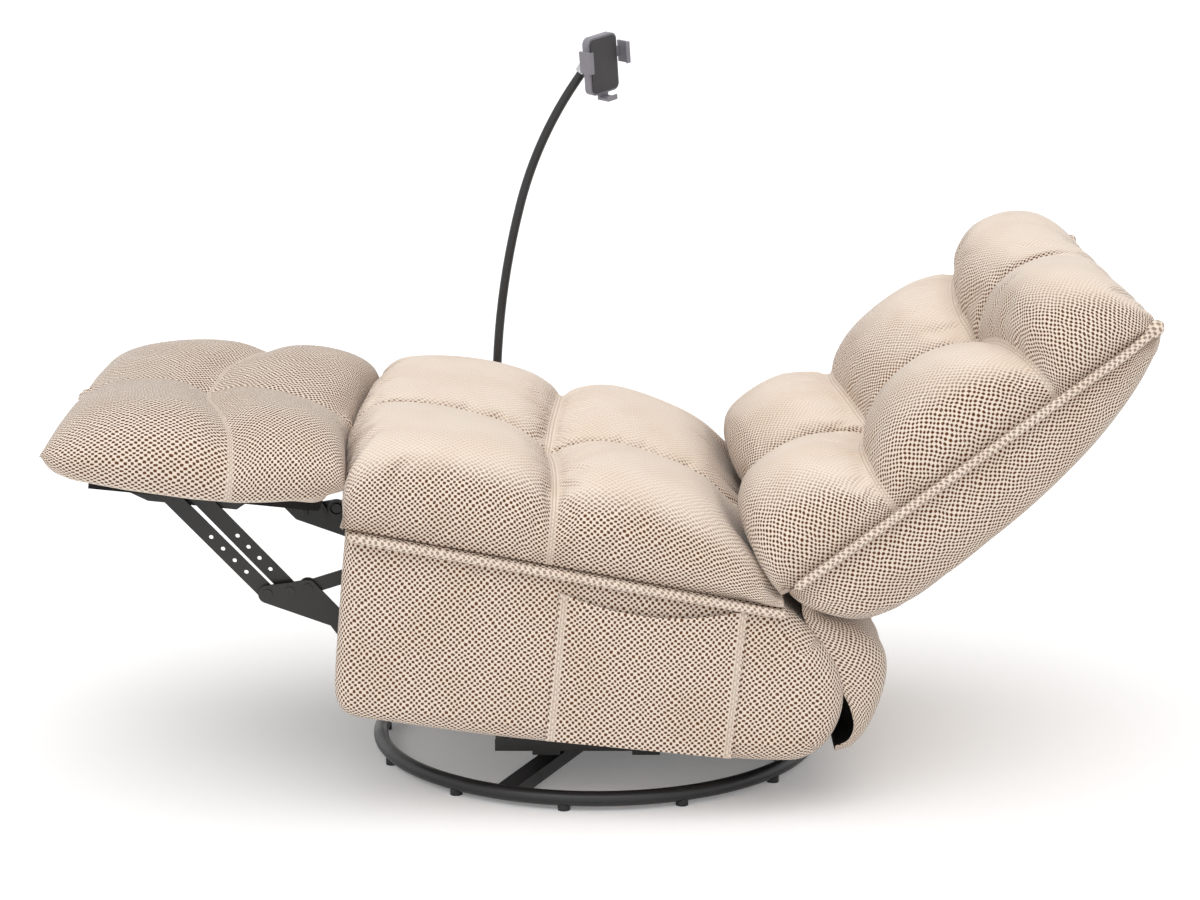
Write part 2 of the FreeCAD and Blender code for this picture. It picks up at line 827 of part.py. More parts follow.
def front_rail():
    """Timber below the front of the seat, narrow where the links fold past it."""
    x0, x1 = -front_rail_x, front_rail_thick - front_rail_x
    top = on_welt_line(x1, deck_thick + 2 * deck_wire_r + 2 * fit_gap)
    board = block(x0, x1, -front_rail_half, front_rail_half, front_rail_low_z, top)
    reach = box_inner_y - fit_gap
    shelf = block(x0, x0 + front_bar_depth, -reach, reach, top - front_bar_thick, top)
    slope_top = on_welt_line(x0 + front_bar_depth, deck_thick + 2 * deck_wire_r + 2 * fit_gap)
    return join([board, shelf]).cut(block(x0 - overrun, x0 + overrun + front_bar_depth, -reach - overrun,
                                          reach + overrun, slope_top, slope_top + overrun))


def rear_rail():
    x0, x1 = rear_rail_x, rear_rail_x + rear_rail_thick
    top = on_welt_line(x1, deck_thick + 2 * deck_wire_r + 2 * fit_gap)
    reach = layer(0)[0] - fit_gap
    low = block(x0, x1, -reach, reach, rear_rail_low_z, rear_rail_shoulder_z)
    high = block(x0, x1, -rear_rail_half, rear_rail_half, rear_rail_low_z, top)
    notch = block(x0 - overrun, x1 + overrun, -rear_rail_notch_half, rear_rail_notch_half,
                  rear_rail_low_z - overrun, rear_rail_notch_z)
    return join([low, high]).cut(notch)


def welt_tilted(shape):
    """Turn a level piece to the slope of the seat's welt line about its front end."""
    shape = shape.copy()
    shape.rotate(vec(-side_front_x, 0, side_front_z), y_axis, welt_lean_deg)
    return shape


def deck_wires():
    """Sinuous springs from the front rail to the rear rail."""
    z = side_front_z - deck_thick - fit_gap - deck_wire_r
    start = -front_rail_x
    end = rear_rail_x + rear_rail_thick
    half, bend = deck_loop_half, deck_loop_r
    count = int((end - start) / (4 * bend))
    pitch = (end - start) / (2 * count)
    bend = pitch / 2
    wires = []
    for number in range(deck_wire_count):
        y = (number - (deck_wire_count - 1) / 2) * deck_wire_pitch
        entries = []
        x = start
        side = 1
        straight = half - bend
        entries.append((vec(x, y, z), vec(x, y + straight, z)))
        for turn in range(2 * count):
            out = y + side * half
            base = y + side * straight
            bulge = bend * math.sqrt(0.5)
            bow = base + side * bulge
            entries.append((vec(x, base, z), vec(x + bend - bulge, bow, z), vec(x + bend, out, z)))
            entries.append((vec(x + bend, out, z), vec(x + bend + bulge, bow, z), vec(x + pitch, base, z)))
            x += pitch
            last = turn == 2 * count - 1
            entries.append((vec(x, base, z), vec(x, y if last else y - side * straight, z)))
            side = -side
        wires.append(welt_tilted(sweep(entries, deck_wire_r)))
    return group(wires)


def seat_deck():
    """The woven sheet over the springs."""
    x0 = -front_rail_x
    x1 = rear_rail_x + rear_rail_thick
    reach = front_rail_half
    sheet = block(x0, x1, -reach, reach, side_front_z - deck_thick, side_front_z - fit_gap)
    return welt_tilted(sheet)


def seat_cushion():
    """Two rows of two crowned panels, cut back behind to let the back swing."""
    def low(x):
        return on_welt_line(x, under_trim)

    rows = [(-seat_front_x, -seat_seam_x, seat_front_shares), (-seat_seam_x, seat_rear_x, seat_rear_shares)]
    cushion = puff(rows, seat_crown, cover_y, seat_side_out, seat_edge_in, seat_crown_y, low)
    reach = cover_y + overrun
    below = block(-seat_front_x - overrun, seat_rear_x + overrun, -reach, reach, side_front_z - overrun,
                  side_front_z + fit_gap)
    return cushion.cut(pin(back_pivot, seat_rear_clear_r, -reach, reach)).cut(welt_tilted(below))


def seat_welts():
    y = cover_y + welt_r + fit_gap

    def place(x):
        return vec(x, y, on_welt_line(x, welt_r + fit_gap))

    run = sweep([(place(-seat_welt_front), place(seat_welt_rear))], welt_r)
    return both(run)


def side_pockets():
    """Shallow open-topped cloth pockets on both side covers."""
    x0, x1 = -side_pocket_front_x, side_pocket_rear_x
    low, mouth = side_pocket_low_z, side_pocket_mouth_z
    y0 = cover_y + fit_gap
    y1 = cover_y + side_pocket_depth
    middle = (x0 + x1) / 2
    left, right = vec(x0, y0, mouth), vec(x1, y0, mouth)
    dip = vec(middle, y0, mouth - side_pocket_sag)
    edges = [Part.LineSegment(vec(x0, y0, low), vec(x1, y0, low)), Part.LineSegment(vec(x1, y0, low), right),
             Part.Arc(right, dip, left), Part.LineSegment(left, vec(x0, y0, low))]
    face = Part.Face(Part.Wire([edge.toShape() for edge in edges]))
    body = face.extrude(vec(0, y1 - y0, 0))
    cloth = side_pocket_cloth
    hollow = block(x0 + cloth, x1 - cloth, y0 - overrun, y1 - cloth, low + cloth, mouth + overrun)
    return both(body.cut(hollow))


def rear_flap():
    """Cloth that hangs from under the back in one full fold and closes the rear."""
    def wall(offset):
        outer = [(flap_top_x, flap_top_z), (flap_mid_x, flap_mid_z), (flap_bulge_x, flap_bulge_z),
                 (flap_low_mid_x, flap_low_mid_z), (flap_low_x, flap_low_z)]
        centre = (flap_top_x, flap_low_mid_z)
        moved = []
        for x, z in outer:
            away = math.dist((x, z), centre)
            step_x = (x - centre[0]) / away * offset
            step_z = (z - centre[1]) / away * offset
            moved.append(vec(x + step_x, -flap_half, z + step_z))
        return moved

    a = wall(0.0)
    b = wall(-flap_thick)
    edges = [Part.Arc(a[0], a[1], a[2]), Part.Arc(a[2], a[3], a[4]), Part.LineSegment(a[4], b[4]),
             Part.Arc(b[4], b[3], b[2]), Part.Arc(b[2], b[1], b[0]), Part.LineSegment(b[0], a[0])]
    face = Part.Face(Part.Wire([edge.toShape() for edge in edges]))
    return face.extrude(vec(0, 2 * flap_half, 0))


def drilled(shape, start, end, y0, y1):
    """A row of spare holes along a link."""
    holes = []
    for share in link_hole_shares:
        holes.append(pin(between(start, end, share), link_hole_r, y0 - overrun, y1 + overrun))
    return shape.cut(holes)


def with_eye(shape, point, radius, y0, y1):
    return shape.cut(pin(point, radius, y0 - overrun, y1 + overrun))


def carry_links():
    y0, y1 = layer(1)
    parts = [bar(knee_front, knee_rear, carry_half, y0, y1), bar(knee_rear, drive_pin, carry_half, y0, y1),
             bar(knee_front, carry_bend, carry_half, y0, y1), bar(drive_pin, carry_bend, carry_half, y0, y1),
             bar(carry_bend, carry_pin, carry_half, y0, y1)]
    plate = with_eye(join(parts), carry_pin, rivet_r + run_gap, y0, y1)
    for point in (knee_front, knee_rear, drive_pin):
        plate = with_eye(plate, point, rivet_r + run_gap, y0, y1)
    return both(plate)


def carry_rivets():
    """Knee rivets that ride in the carry links."""
    return group([both(rivet(knee_front, 1, 2)), both(rivet(knee_rear, 1, 3)), both(rivet(drive_pin, 1, 2))])


def rear_links():
    y0, y1 = layer(3)
    link = bar(knee_rear, board_rear_pin, long_link_half, y0, y1)
    link = drilled(link, knee_rear, board_rear_pin, y0, y1)
    for point in (knee_rear, board_rear_pin):
        link = with_eye(link, point, rivet_r + run_gap, y0, y1)
    return both(link)


def front_links():
    """Front long links, with the rivet heads of the pivot that is left open at the footrest."""
    y0, y1 = layer(2)
    link = bar(knee_front, board_front_pin, long_link_half, y0, y1)
    link = drilled(link, knee_front, board_front_pin, y0, y1)
    link = with_eye(link, knee_front, rivet_r + run_gap, y0, y1)
    head = pin(board_front_pin, rivet_head_r, y1, y1 + rivet_head_h)
    stub = pin(board_front_pin, rivet_r, layer(4)[1] + fit_gap, y0)
    return both(join([link, head, stub]))


def drive_links():
    y0, y1 = layer(2)
    link = bar(drive_pin, arm_tip, drive_half, y0, y1)
    eye = pin(drive_pin, rivet_r + 2 * open_eye_extra - rivet_head_h, y0, y1)
    link = join([link, eye])
    link = with_eye(link, drive_pin, rivet_r + open_eye_extra, y0, y1)
    return both(with_eye(link, arm_tip, rivet_r + run_gap, y0, y1))


def torque_tube():
    """Cross shaft with an arm at each side, a slotted crank in the middle and the arm rivets."""
    reach = layer(0)[1] - fit_gap
    shaft = pin(torque_pin, torque_r, -reach, reach)
    y0, y1 = layer(3)
    arm = bar(torque_pin, arm_tip, arm_half, y0, y1)
    stud = rivet(arm_tip, 2, 3)
    pieces = [shaft, arm, mirrored(arm), stud, mirrored(stud)]
    ux, uz = math.cos(math.radians(crank_deg)), math.sin(math.radians(crank_deg))
    far = crank_radius + crank_slot_extra
    tip = (torque_pin[0] + ux * far, torque_pin[1] + uz * far)
    near = crank_radius - crank_slot_back
    slot_start = (torque_pin[0] + ux * near, torque_pin[1] + uz * near)
    for y in (crank_gap, -crank_gap - crank_thick):
        lug = bar(torque_pin, tip, crank_half, y, y + crank_thick)
        slot = bar(slot_start, tip, rivet_r + crank_slot_extra, y - overrun, y + overrun)
        pieces.append(lug.cut(slot))
    tube = join(pieces)
    return tube.cut(pin(torque_pin, torque_r - torque_wall, -reach - overrun, reach + overrun))


def along_rod(shape):
    """Turn a piece drawn along -X from the actuator's rear pin to the rod's real line."""
    shape = shape.copy()
    shape.rotate(origin, y_axis, rod_lean_deg)
    shape.translate(vec(actuator_x, 0, actuator_z))
    return shape


def gearbox():
    """Gear housing with the rear eye and the power inlet."""
    body = block(-gearbox_start - gearbox_length, -gearbox_start, -gearbox_half_y, gearbox_half_y,
                 -gearbox_half_z, motor_lift)
    body = body.makeFillet(gearbox_round, body.Edges)
    eye = pin((0, 0), actuator_eye_r, -actuator_eye_half, actuator_eye_half)
    neck = block(-2 * actuator_eye_r, 0, -actuator_eye_half, actuator_eye_half,
                 -actuator_eye_r, actuator_eye_r)
    x = -gearbox_start - gearbox_length / 2
    down = vec(0, 0, -1)
    inlet = rod(vec(x, 0, gearbox_round - gearbox_half_z), down, inlet_length + gearbox_round, inlet_r)
    socket = rod(vec(x, 0, -gearbox_half_z), down, inlet_length + overrun, inlet_bore_r)
    shape = join([body, eye, neck, inlet]).cut(pin((0, 0), actuator_pin_r, -overrun, overrun))
    bore = rod(vec(-outer_tube_bore_end, 0, 0), vec(-1, 0, 0), overrun, outer_tube_r)
    return along_rod(shape.cut(socket).cut(bore))


def motor():
    start = -gearbox_start - gearbox_length - fit_gap
    can = rod(vec(start, 0, motor_lift - motor_r / 2), vec(-1, 0, 0), motor_length, motor_r)
    groove = rod(vec(start, 0, 0), vec(-1, 0, 0), motor_length, outer_tube_r + fit_gap)
    return along_rod(can.cut(groove))


def outer_tube():
    start = gearbox_start + gearbox_length + fit_gap
    tube = rod(vec(-start, 0, 0), vec(-1, 0, 0), outer_tube_end - start, outer_tube_r)
    bore = rod(vec(-outer_tube_bore_end, 0, 0), vec(-1, 0, 0), outer_tube_end, rod_r + run_gap)
    return along_rod(tube.cut(bore))


def actuator_rod():
    """Plunger with its eye and the pin that slides in the crank's slots."""
    shaft = rod(vec(-rod_start, 0, 0), vec(-1, 0, 0), rod_reach - rod_start, rod_r)
    eye = pin((-rod_reach, 0), rod_eye_r, -rod_eye_half, rod_eye_half)
    reach = crank_gap + crank_thick + rivet_head_h
    cross = pin((-rod_reach, 0), rivet_r, -reach, reach)
    return along_rod(join([shaft, eye, cross]))


def footrest_brackets():
    """Angle irons under the footrest board, with the rivets of the rear links."""
    y0, y1 = layer(4)
    top = foot_bottom_z - board_thick - 2 * fit_gap
    low = top - foot_bracket_depth
    front, rear = -foot_bracket_front_x, -foot_bracket_rear_x
    web = prism([(front, top), (front, top - link_thick), (front + foot_bracket_nose, low),
                 (rear - foot_bracket_depth, low), (rear, top - link_thick), (rear, top)], y0, y1)
    flange = block(front, rear, y0 - foot_bracket_flange, y1, top - link_thick, top)
    link_outer = layer(3)[1]
    stud = pin(board_rear_pin, rivet_r, y1, link_outer)
    head = pin(board_rear_pin, rivet_head_r, link_outer, link_outer + rivet_head_h)
    return both(join([web, flange, stud, head]))


def footrest_board():
    """Board under the footrest cushion, grooved below where the front links rise past it."""
    top = foot_bottom_z - fit_gap
    board = block(-board_front_x, -board_rear_x, -board_half, board_half, top - board_thick, top)
    y0, y1 = layer(4)[1], layer(2)[1] + pocket_clear
    x = -board_front_pin_x
    groove = block(x - board_groove_half, x + board_groove_half, y0, y1, top - overrun, top - pocket_clear)
    return board.cut([groove, mirrored(groove)])


def footrest_cushion():
    """Two rows of two crowned panels on the footrest board."""
    def low(x):
        return foot_bottom_z - under_trim

    rows = [(-foot_front_x, -foot_seam_x, foot_front_shares), (-foot_seam_x, -foot_rear_x, foot_rear_shares)]
    cushion = puff(rows, foot_crown, foot_half, foot_side_out, foot_edge_in, foot_crown_y, low)
    reach = foot_half + overrun
    tip = -foot_front_x - foot_tip_lift
    below = prism([(tip, foot_bottom_z - overrun), (overrun - foot_rear_x, foot_bottom_z - overrun),
                   (overrun - foot_rear_x, foot_bottom_z), (-board_front_x, foot_bottom_z),
                   (-foot_front_x, foot_bottom_z + foot_tip_lift), (tip, foot_bottom_z + foot_tip_lift)],
                  -reach, reach)
    return cushion.cut(below)


def back_slot():
    """Room in the stuffing for the riser, the hinge and the bracket on one side."""
    y = (layer(0)[1] + layer(1)[0]) / 2
    return block(slot_low, slot_high, y - slot_half, y + slot_half, -slot_deep, slot_deep)


def welt_groove():
    """Room for one welt between the cushion and the cover behind it."""
    y = back_half + welt_r + fit_gap
    return rod(vec(-overrun, y, 0), vec(1, 0, 0), back_length + 2 * overrun, welt_r + fit_gap)


def back_cushion():
    """Three rows of two crowned panels."""
    def low(along):
        return -under_trim

    rows = [(back_lumbar_low, back_lumbar_seam, lumbar_shares),
            (back_lumbar_seam, back_head_seam, middle_shares), (back_head_seam, back_length, head_shares)]
    cushion = puff(rows, back_thick, back_half, back_side_out, back_edge_in, back_crown_y, low)
    reach = back_half + overrun
    below = block(-overrun, back_length + overrun, -reach, reach, -overrun, fit_gap)
    room = [back_slot(), mirrored(back_slot()), welt_groove(), mirrored(welt_groove())]
    return leaned(cushion.cut(room + [below]))


def rear_section(along, depth):
    """Closed section of the stuffed outside of the back: flat in front, swept round behind."""
    half = back_half
    edge = half - rear_edge_in
    wide = half + rear_side_out
    side = -depth * rear_side_share
    rear = -depth * rear_edge_share
    points = [vec(along, -half, 0), vec(along, half, 0), vec(along, wide, side), vec(along, edge, rear),
              vec(along, 0, -depth), vec(along, -edge, rear), vec(along, -wide, side)]
    edges = [Part.LineSegment(points[0], points[1]), Part.Arc(points[1], points[2], points[3]),
             Part.Arc(points[3], points[4], points[5]), Part.Arc(points[5], points[6], points[0])]
    return Part.Wire([edge.toShape() for edge in edges])


def outer_back():
    """Stuffed cover behind the welt, hollowed for the timber frame."""
    sections = []
    for along_share, depth_share in rear_shares:
        along = rear_start + (back_length - rear_start) * along_share
        sections.append(rear_section(along, rear_depth * depth_share))
    shape = Part.makeLoft(sections, True, False)
    reach = layer(0)[0] + frame_rail_thick + pocket_clear
    hollow = block(frame_low - pocket_clear, frame_high + pocket_clear, -reach, reach,
                   -frame_rail_depth - pocket_clear, overrun)
    room = [back_slot(), mirrored(back_slot()), welt_groove(), mirrored(welt_groove())]
    return leaned(shape.cut(room + [hollow]))


def back_frame():
    """Timber ladder: two side rails and four cross rails."""
    y0 = layer(1)[1] + fit_gap
    top = -strap_thick - 2 * fit_gap
    low = -frame_rail_depth
    rail = block(frame_low, frame_high, y0, y0 + frame_rail_thick, low, top)
    pieces = [rail, mirrored(rail)]
    span = frame_high - frame_low - frame_cross_width
    for share in frame_cross_shares:
        start = frame_low + span * share
        pieces.append(block(start, start + frame_cross_width, -y0, y0, low, top - fit_gap))
    bracket_low = -bracket_drop - bracket_half - pocket_clear
    pocket = block(frame_low - pocket_clear, bracket_run + bracket_half + pocket_clear,
                   layer(1)[0] - fit_gap, y0, bracket_low, overrun)
    return leaned(join(pieces).cut([pocket, mirrored(pocket)]))


def back_straps():
    """Webbing across the timber frame."""
    reach = layer(1)[1] + frame_rail_thick
    first = frame_low + strap_margin
    step = (frame_high - strap_margin - strap_width - first) / (strap_count - 1)
    straps = []
    for number in range(strap_count):
        start = first + step * number
        straps.append(block(start, start + strap_width, -reach, reach, -strap_thick - fit_gap, -fit_gap))
    return leaned(group(straps))


def back_brackets():
    """Steel arms from the back hinge to the timber rails, with the tail that holds the stay link."""
    y0, y1 = layer(1)
    run_end = back_place(bracket_run, -bracket_drop)
    knee = back_place(frame_low + bracket_half, -bracket_drop)
    parts = [bar(back_pivot, knee, bracket_half, y0, y1), bar(knee, run_end, bracket_half, y0, y1),
             bar(knee, stay_pin, bracket_half, y0, y1), bar(back_pivot, stay_pin, bracket_half, y0, y1)]
    plate = with_eye(join(parts), back_pivot, rivet_r + run_gap, y0, y1)
    return both(join([plate, rivet(stay_pin, 1, 2)]))


def stay_links():
    """Slotted links that guide the back between its two ends of travel."""
    y0, y1 = layer(2)
    length = math.dist(stay_pin, stay_stud)
    ux, uz = (stay_stud[0] - stay_pin[0]) / length, (stay_stud[1] - stay_pin[1]) / length
    far = length + stay_travel + stay_slot_over
    near = length - stay_slot_over
    tip = (stay_pin[0] + ux * far, stay_pin[1] + uz * far)
    slot_start = (stay_pin[0] + ux * near, stay_pin[1] + uz * near)
    link = bar(stay_pin, tip, stay_half, y0, y1)
    link = link.cut(bar(slot_start, tip, stay_slot_half, y0 - overrun, y1 + overrun))
    return both(with_eye(link, stay_pin, rivet_r + run_gap, y0, y1))


def back_welts():
    y = back_half + welt_r + fit_gap
    tube = rod(vec(0, y, 0), vec(1, 0, 0), back_length, welt_r)
    return leaned(both(tube))


def control_panel():
    """Moulded bezel let into the right side cover, with two button wells and a charging socket."""
    half_x, half_z = control_length / 2, control_height / 2
    y1 = cover_y
    y0 = cover_y - control_recess
    body = block(-control_x - half_x, half_x - control_x, y0, y1, control_z - half_z, control_z + half_z)
    wide_x, wide_z = half_x + control_lip, half_z + control_lip
    lip = block(-control_x - wide_x, wide_x - control_x, y1 + fit_gap, y1 + fit_gap + control_rim,
                control_z - wide_z, control_z + wide_z)
    link = block(-control_x - half_x, half_x - control_x, y1, y1 + fit_gap + control_rim,
                 control_z - half_z, control_z + half_z)
    shape = join([body, link, lip])
    well_x, well_z = button_length / 2 + fit_gap, button_height / 2 + fit_gap
    floor_y = y1 + control_rim + fit_gap - button_back
    for x in button_places():
        shape = shape.cut(block(x - well_x, x + well_x, floor_y, y1 + overrun,
                                control_z - well_z, control_z + well_z))
    x = usb_place()
    return shape.cut(block(x - usb_width / 2, x + usb_width / 2, y0 + control_rim, y1 + overrun,
                           control_z - usb_height / 2, control_z + usb_height / 2))


def button_places():
    return (-control_x - button_spacing, -control_x)


def usb_place():
    return -control_x + button_spacing


def button(x):
    """A rounded key that stands a little proud and clears the floor of its well by its travel."""
    y0 = cover_y + control_rim + fit_gap - button_back + button_travel + fit_gap
    y1 = cover_y + control_rim + fit_gap + button_stand
    key = block(x - button_length / 2, x + button_length / 2, y0, y1,
                control_z - button_height / 2, control_z + button_height / 2)
    upright = [edge for edge in key.Edges if abs(edge.tangentAt(edge.FirstParameter).y) > upright_share]
    return key.makeFillet(button_height * button_round_share, upright)


def neck_bracket():
    """Plate on the right side cover with the socket that the gooseneck turns in."""
    y0 = cover_y + fit_gap
    half_x, half_z = socket_plate_width / 2, socket_plate_height / 2
    middle_z = neck_z - socket_height / 2
    plate = block(-neck_x - half_x, half_x - neck_x, y0, y0 + socket_plate_thick,
                  middle_z - half_z, middle_z + half_z)
    socket = rod(vec(-neck_x, neck_y, neck_z - socket_height), z_axis, socket_height, socket_r)
    web = block(-neck_x - socket_r / 2, socket_r / 2 - neck_x, y0, neck_y, neck_z - socket_height, neck_z)
    pieces = [plate, socket, web]
    for side in (-1, 1):
        z = neck_z - socket_height / 2 + side * (socket_plate_height / 2 - 2 * socket_screw_r)
        pieces.append(rod(vec(-neck_x, y0 + socket_plate_thick, z), y_axis, socket_screw_h, socket_screw_r))
    bore = rod(vec(-neck_x, neck_y, neck_z - neck_spigot - fit_gap), z_axis, neck_spigot + overrun,
               neck_spigot_r + run_gap)
    return join(pieces).cut(bore)


def neck_path():
    """Straight and curved runs of the gooseneck and its end point and heading."""
    x, z = -neck_x, neck_z + fit_gap
    heading = 0.0
    entries = []
    for length, turn in zip(neck_runs, neck_turns_deg):
        start = vec(x, neck_y, z)
        bend = math.radians(turn)
        if turn == 0:
            x += length * math.sin(heading)
            z += length * math.cos(heading)
            entries.append((start, vec(x, neck_y, z)))
            continue
        radius = length / bend
        ends = []
        for share in (0.5, 1.0):
            at = heading + bend * share
            ends.append(vec(x + radius * (math.cos(heading) - math.cos(at)), neck_y,
                            z + radius * (math.sin(at) - math.sin(heading))))
        entries.append((start, ends[0], ends[1]))
        x, z = ends[1].x, ends[1].z
        heading += bend
    return entries, (x, z), heading


def gooseneck():
    entries, end, heading = neck_path()
    tube = sweep(entries, neck_r)
    spigot = rod(vec(-neck_x, neck_y, neck_z - neck_spigot), z_axis, neck_spigot + 2 * fit_gap, neck_spigot_r)
    return join([tube, spigot])


def collar_middle():
    """Middle of the collar on the gooseneck's end."""
    entries, end, heading = neck_path()
    away = fit_gap + nut_height / 2
    return vec(end[0] + math.sin(heading) * away, neck_y, end[1] + math.cos(heading) * away)


def ball_centre():
    """The ball stands out of the collar towards the holder."""
    yaw = math.radians(holder_yaw_deg)
    return collar_middle() + vec(math.sin(yaw), -math.cos(yaw), 0) * stud_reach


def at_holder(shape):
    """Move a holder piece, drawn facing -Y about the ball, to its place on the gooseneck."""
    shape = shape.copy()
    shape.rotate(origin, y_axis, holder_roll_deg)
    shape.rotate(origin, z_axis, holder_yaw_deg)
    shape.translate(ball_centre())
    return shape


def ball_nut():
    """Collar on the gooseneck's end, bored across for the ball stud."""
    entries, end, heading = neck_path()
    up = vec(math.sin(heading), 0, math.cos(heading))
    collar = rod(vec(end[0], neck_y, end[1]) + up * fit_gap, up, nut_height, nut_r)
    bore = rod(vec(0, stud_reach, 0), vec(0, -1, 0), stud_reach, stud_r + run_gap)
    return collar.cut(at_holder(bore))


def holder_ball():
    """Ball on a stud that is screwed into the collar."""
    ball = Part.makeSphere(ball_r, origin)
    stud = rod(origin, y_axis, stud_reach - run_gap, stud_r)
    return at_holder(join([ball, stud]))


def holder_socket():
    """Cup that grips the ball, with the pin that the holder turns on."""
    cup = rod(vec(0, cup_mouth, 0), vec(0, -1, 0), cup_mouth + cup_back, cup_r)
    pivot = rod(vec(0, -cup_back, 0), vec(0, -1, 0), turn_pin_length, turn_pin_r)
    return at_holder(join([cup, pivot]).cut(Part.makeSphere(ball_r + run_gap, origin)))


def holder_front():
    """Y of the holder's front face, in its own frame."""
    return -cup_back - fit_gap - holder_depth


def rounded_plate(x0, x1, y0, y1, z0, z1, radius):
    plate = block(x0, x1, y0, y1, z0, z1)
    corners = [edge for edge in plate.Edges if abs(edge.tangentAt(edge.FirstParameter).y) > upright_share]
    return plate.makeFillet(radius, corners)


def jaw_slot_y():
    """Front and rear Y of the channel that the jaw bars slide in."""
    front = holder_front() + pad_inset + fit_gap
    return front, front + jaw_bar_depth


def holder_body():
    """Rounded clamp body with channels for the two jaw bars and the foot bar."""
    half = holder_width / 2
    low, high = holder_rise - holder_height / 2, holder_rise + holder_height / 2
    y0, y1 = holder_front(), -cup_back - fit_gap
    body = rounded_plate(-half, half, y0, y1, low, high, holder_round)
    s0, s1 = jaw_slot_y()
    z = holder_rise + jaw_rise
    jaws = block(-half - overrun, half + overrun, s0 - fit_gap, s1 + fit_gap,
                 z - jaw_bar_height / 2 - fit_gap, z + jaw_bar_height / 2 + fit_gap)
    foot_channel = block(-foot_bar_width / 2 - fit_gap, foot_bar_width / 2 + fit_gap, s0 - fit_gap,
                         s1 + fit_gap, low - overrun, low + foot_bar_in + fit_gap)
    bore = rod(vec(0, -cup_back + overrun, 0), vec(0, -1, 0), overrun + turn_pin_length + fit_gap,
               turn_pin_r + run_gap)
    return at_holder(body.cut([jaws, foot_channel, bore]))


def face_pad():
    half = holder_width / 2 - pad_inset
    low, high = holder_rise - holder_height / 2 + pad_inset, holder_rise + holder_height / 2 - pad_inset
    y1 = holder_front() - fit_gap
    return at_holder(rounded_plate(-half, half, y1 - pad_thick, y1, low, high, holder_round - pad_inset))


def jaw(side):
    """Bar that slides in the body and a turned-up gripping lip outside it."""
    half = holder_width / 2
    s0, s1 = jaw_slot_y()
    z = holder_rise + jaw_rise
    inner = side * (half - jaw_bar_in)
    outer = side * (half + jaw_reach)
    bar_half = jaw_bar_height / 2
    bar_piece = block(min(inner, outer), max(inner, outer), s0, s1, z - bar_half, z + bar_half)
    wall = side * (half + jaw_reach - jaw_thick)
    lip = block(min(wall, outer), max(wall, outer), s0 - jaw_lip, s1, z - jaw_height / 2, z + jaw_height / 2)
    tip = side * (half + jaw_reach - 2 * jaw_thick)
    hook = block(min(tip, outer), max(tip, outer), s0 - jaw_lip, s0 - jaw_lip + jaw_thick / 2,
                 z - jaw_height / 2, z + jaw_height / 2)
    return at_holder(join([bar_piece, lip, hook]))


def phone_foot():
    """Bar out of the bottom of the body with a lip that the phone stands on."""
    low = holder_rise - holder_height / 2
    s0, s1 = jaw_slot_y()
    half = foot_bar_width / 2
    bar_piece = block(-half, half, s0, s1, low - foot_reach, low + foot_bar_in)
    lip = block(-half, half, s0 - foot_lip, s1, low - foot_reach, low - foot_reach + foot_lip_thick)
    hook = block(-half, half, s0 - foot_lip, s0 - foot_lip + foot_lip_thick / 2,
                 low - foot_reach, low - foot_reach + 2 * foot_lip_thick)
    return at_holder(join([bar_piece, lip, hook]))


level_parts = {
    "base_ring": ring, "base_crossbars": crossbars, "base_glides": glides,
    "swivel_lower_race": lambda: race(lower_race_z, king_bolt_r + run_gap), "swivel_balls": balls,
    "king_bolt": king_bolt,
    "swivel_upper_race": lambda: race(upper_race_z, king_bolt_r + run_gap),
    "rocker_cross_members": rocker_members, "rocker_rails": rocker_rails,
    "rocker_springs": rocker_springs}

rocked_parts = {
    "rocker_cams": cams, "cross_tubes": cross_tubes, "mechanism_side_plates": side_plates,
    "plate_rivets": plate_rivets, "side_panels": side_panels, "side_blocks": side_blocks,
    "side_cover_left": lambda: side_cover(False), "side_cover_right": lambda: side_cover(True),
    "seat_front_rail": front_rail, "seat_rear_rail": rear_rail, "seat_springs": deck_wires,
    "seat_deck": seat_deck, "seat_cushion": seat_cushion, "seat_welts": seat_welts,
    "side_pockets": side_pockets, "rear_flap": rear_flap, "control_panel": control_panel,
    "recline_button": lambda: button(button_places()[0]),
    "return_button": lambda: button(button_places()[1]), "neck_bracket": neck_bracket,
    "carry_links": carry_links, "carry_rivets": carry_rivets, "rear_long_links": rear_links,
    "front_long_links": front_links, "drive_links": drive_links, "torque_tube": torque_tube,
    "actuator_gearbox": gearbox, "actuator_motor": motor, "actuator_tube": outer_tube,
    "actuator_rod": actuator_rod, "footrest_brackets": footrest_brackets,
    "footrest_board": footrest_board, "footrest_cushion": footrest_cushion,
    "back_cushion": back_cushion, "outer_back": outer_back, "back_frame": back_frame,
    "back_straps": back_straps, "back_brackets": back_brackets, "stay_links": stay_links,
    "back_welts": back_welts, "gooseneck": gooseneck, "ball_nut": ball_nut,
    "holder_ball": holder_ball, "holder_socket": holder_socket,
    "holder_body": holder_body, "face_pad": face_pad,
    "jaw_left": lambda: jaw(-1), "jaw_right": lambda: jaw(1), "phone_foot": phone_foot}


def main():
    os.makedirs("parts", exist_ok=True)
    for name, make in level_parts.items():
        make().exportStep("parts/" + name + ".step")
    for name, make in rocked_parts.items():
        tilted(make()).exportStep("parts/" + name + ".step")


if __name__ == "__main__":
    main()
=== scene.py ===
import math

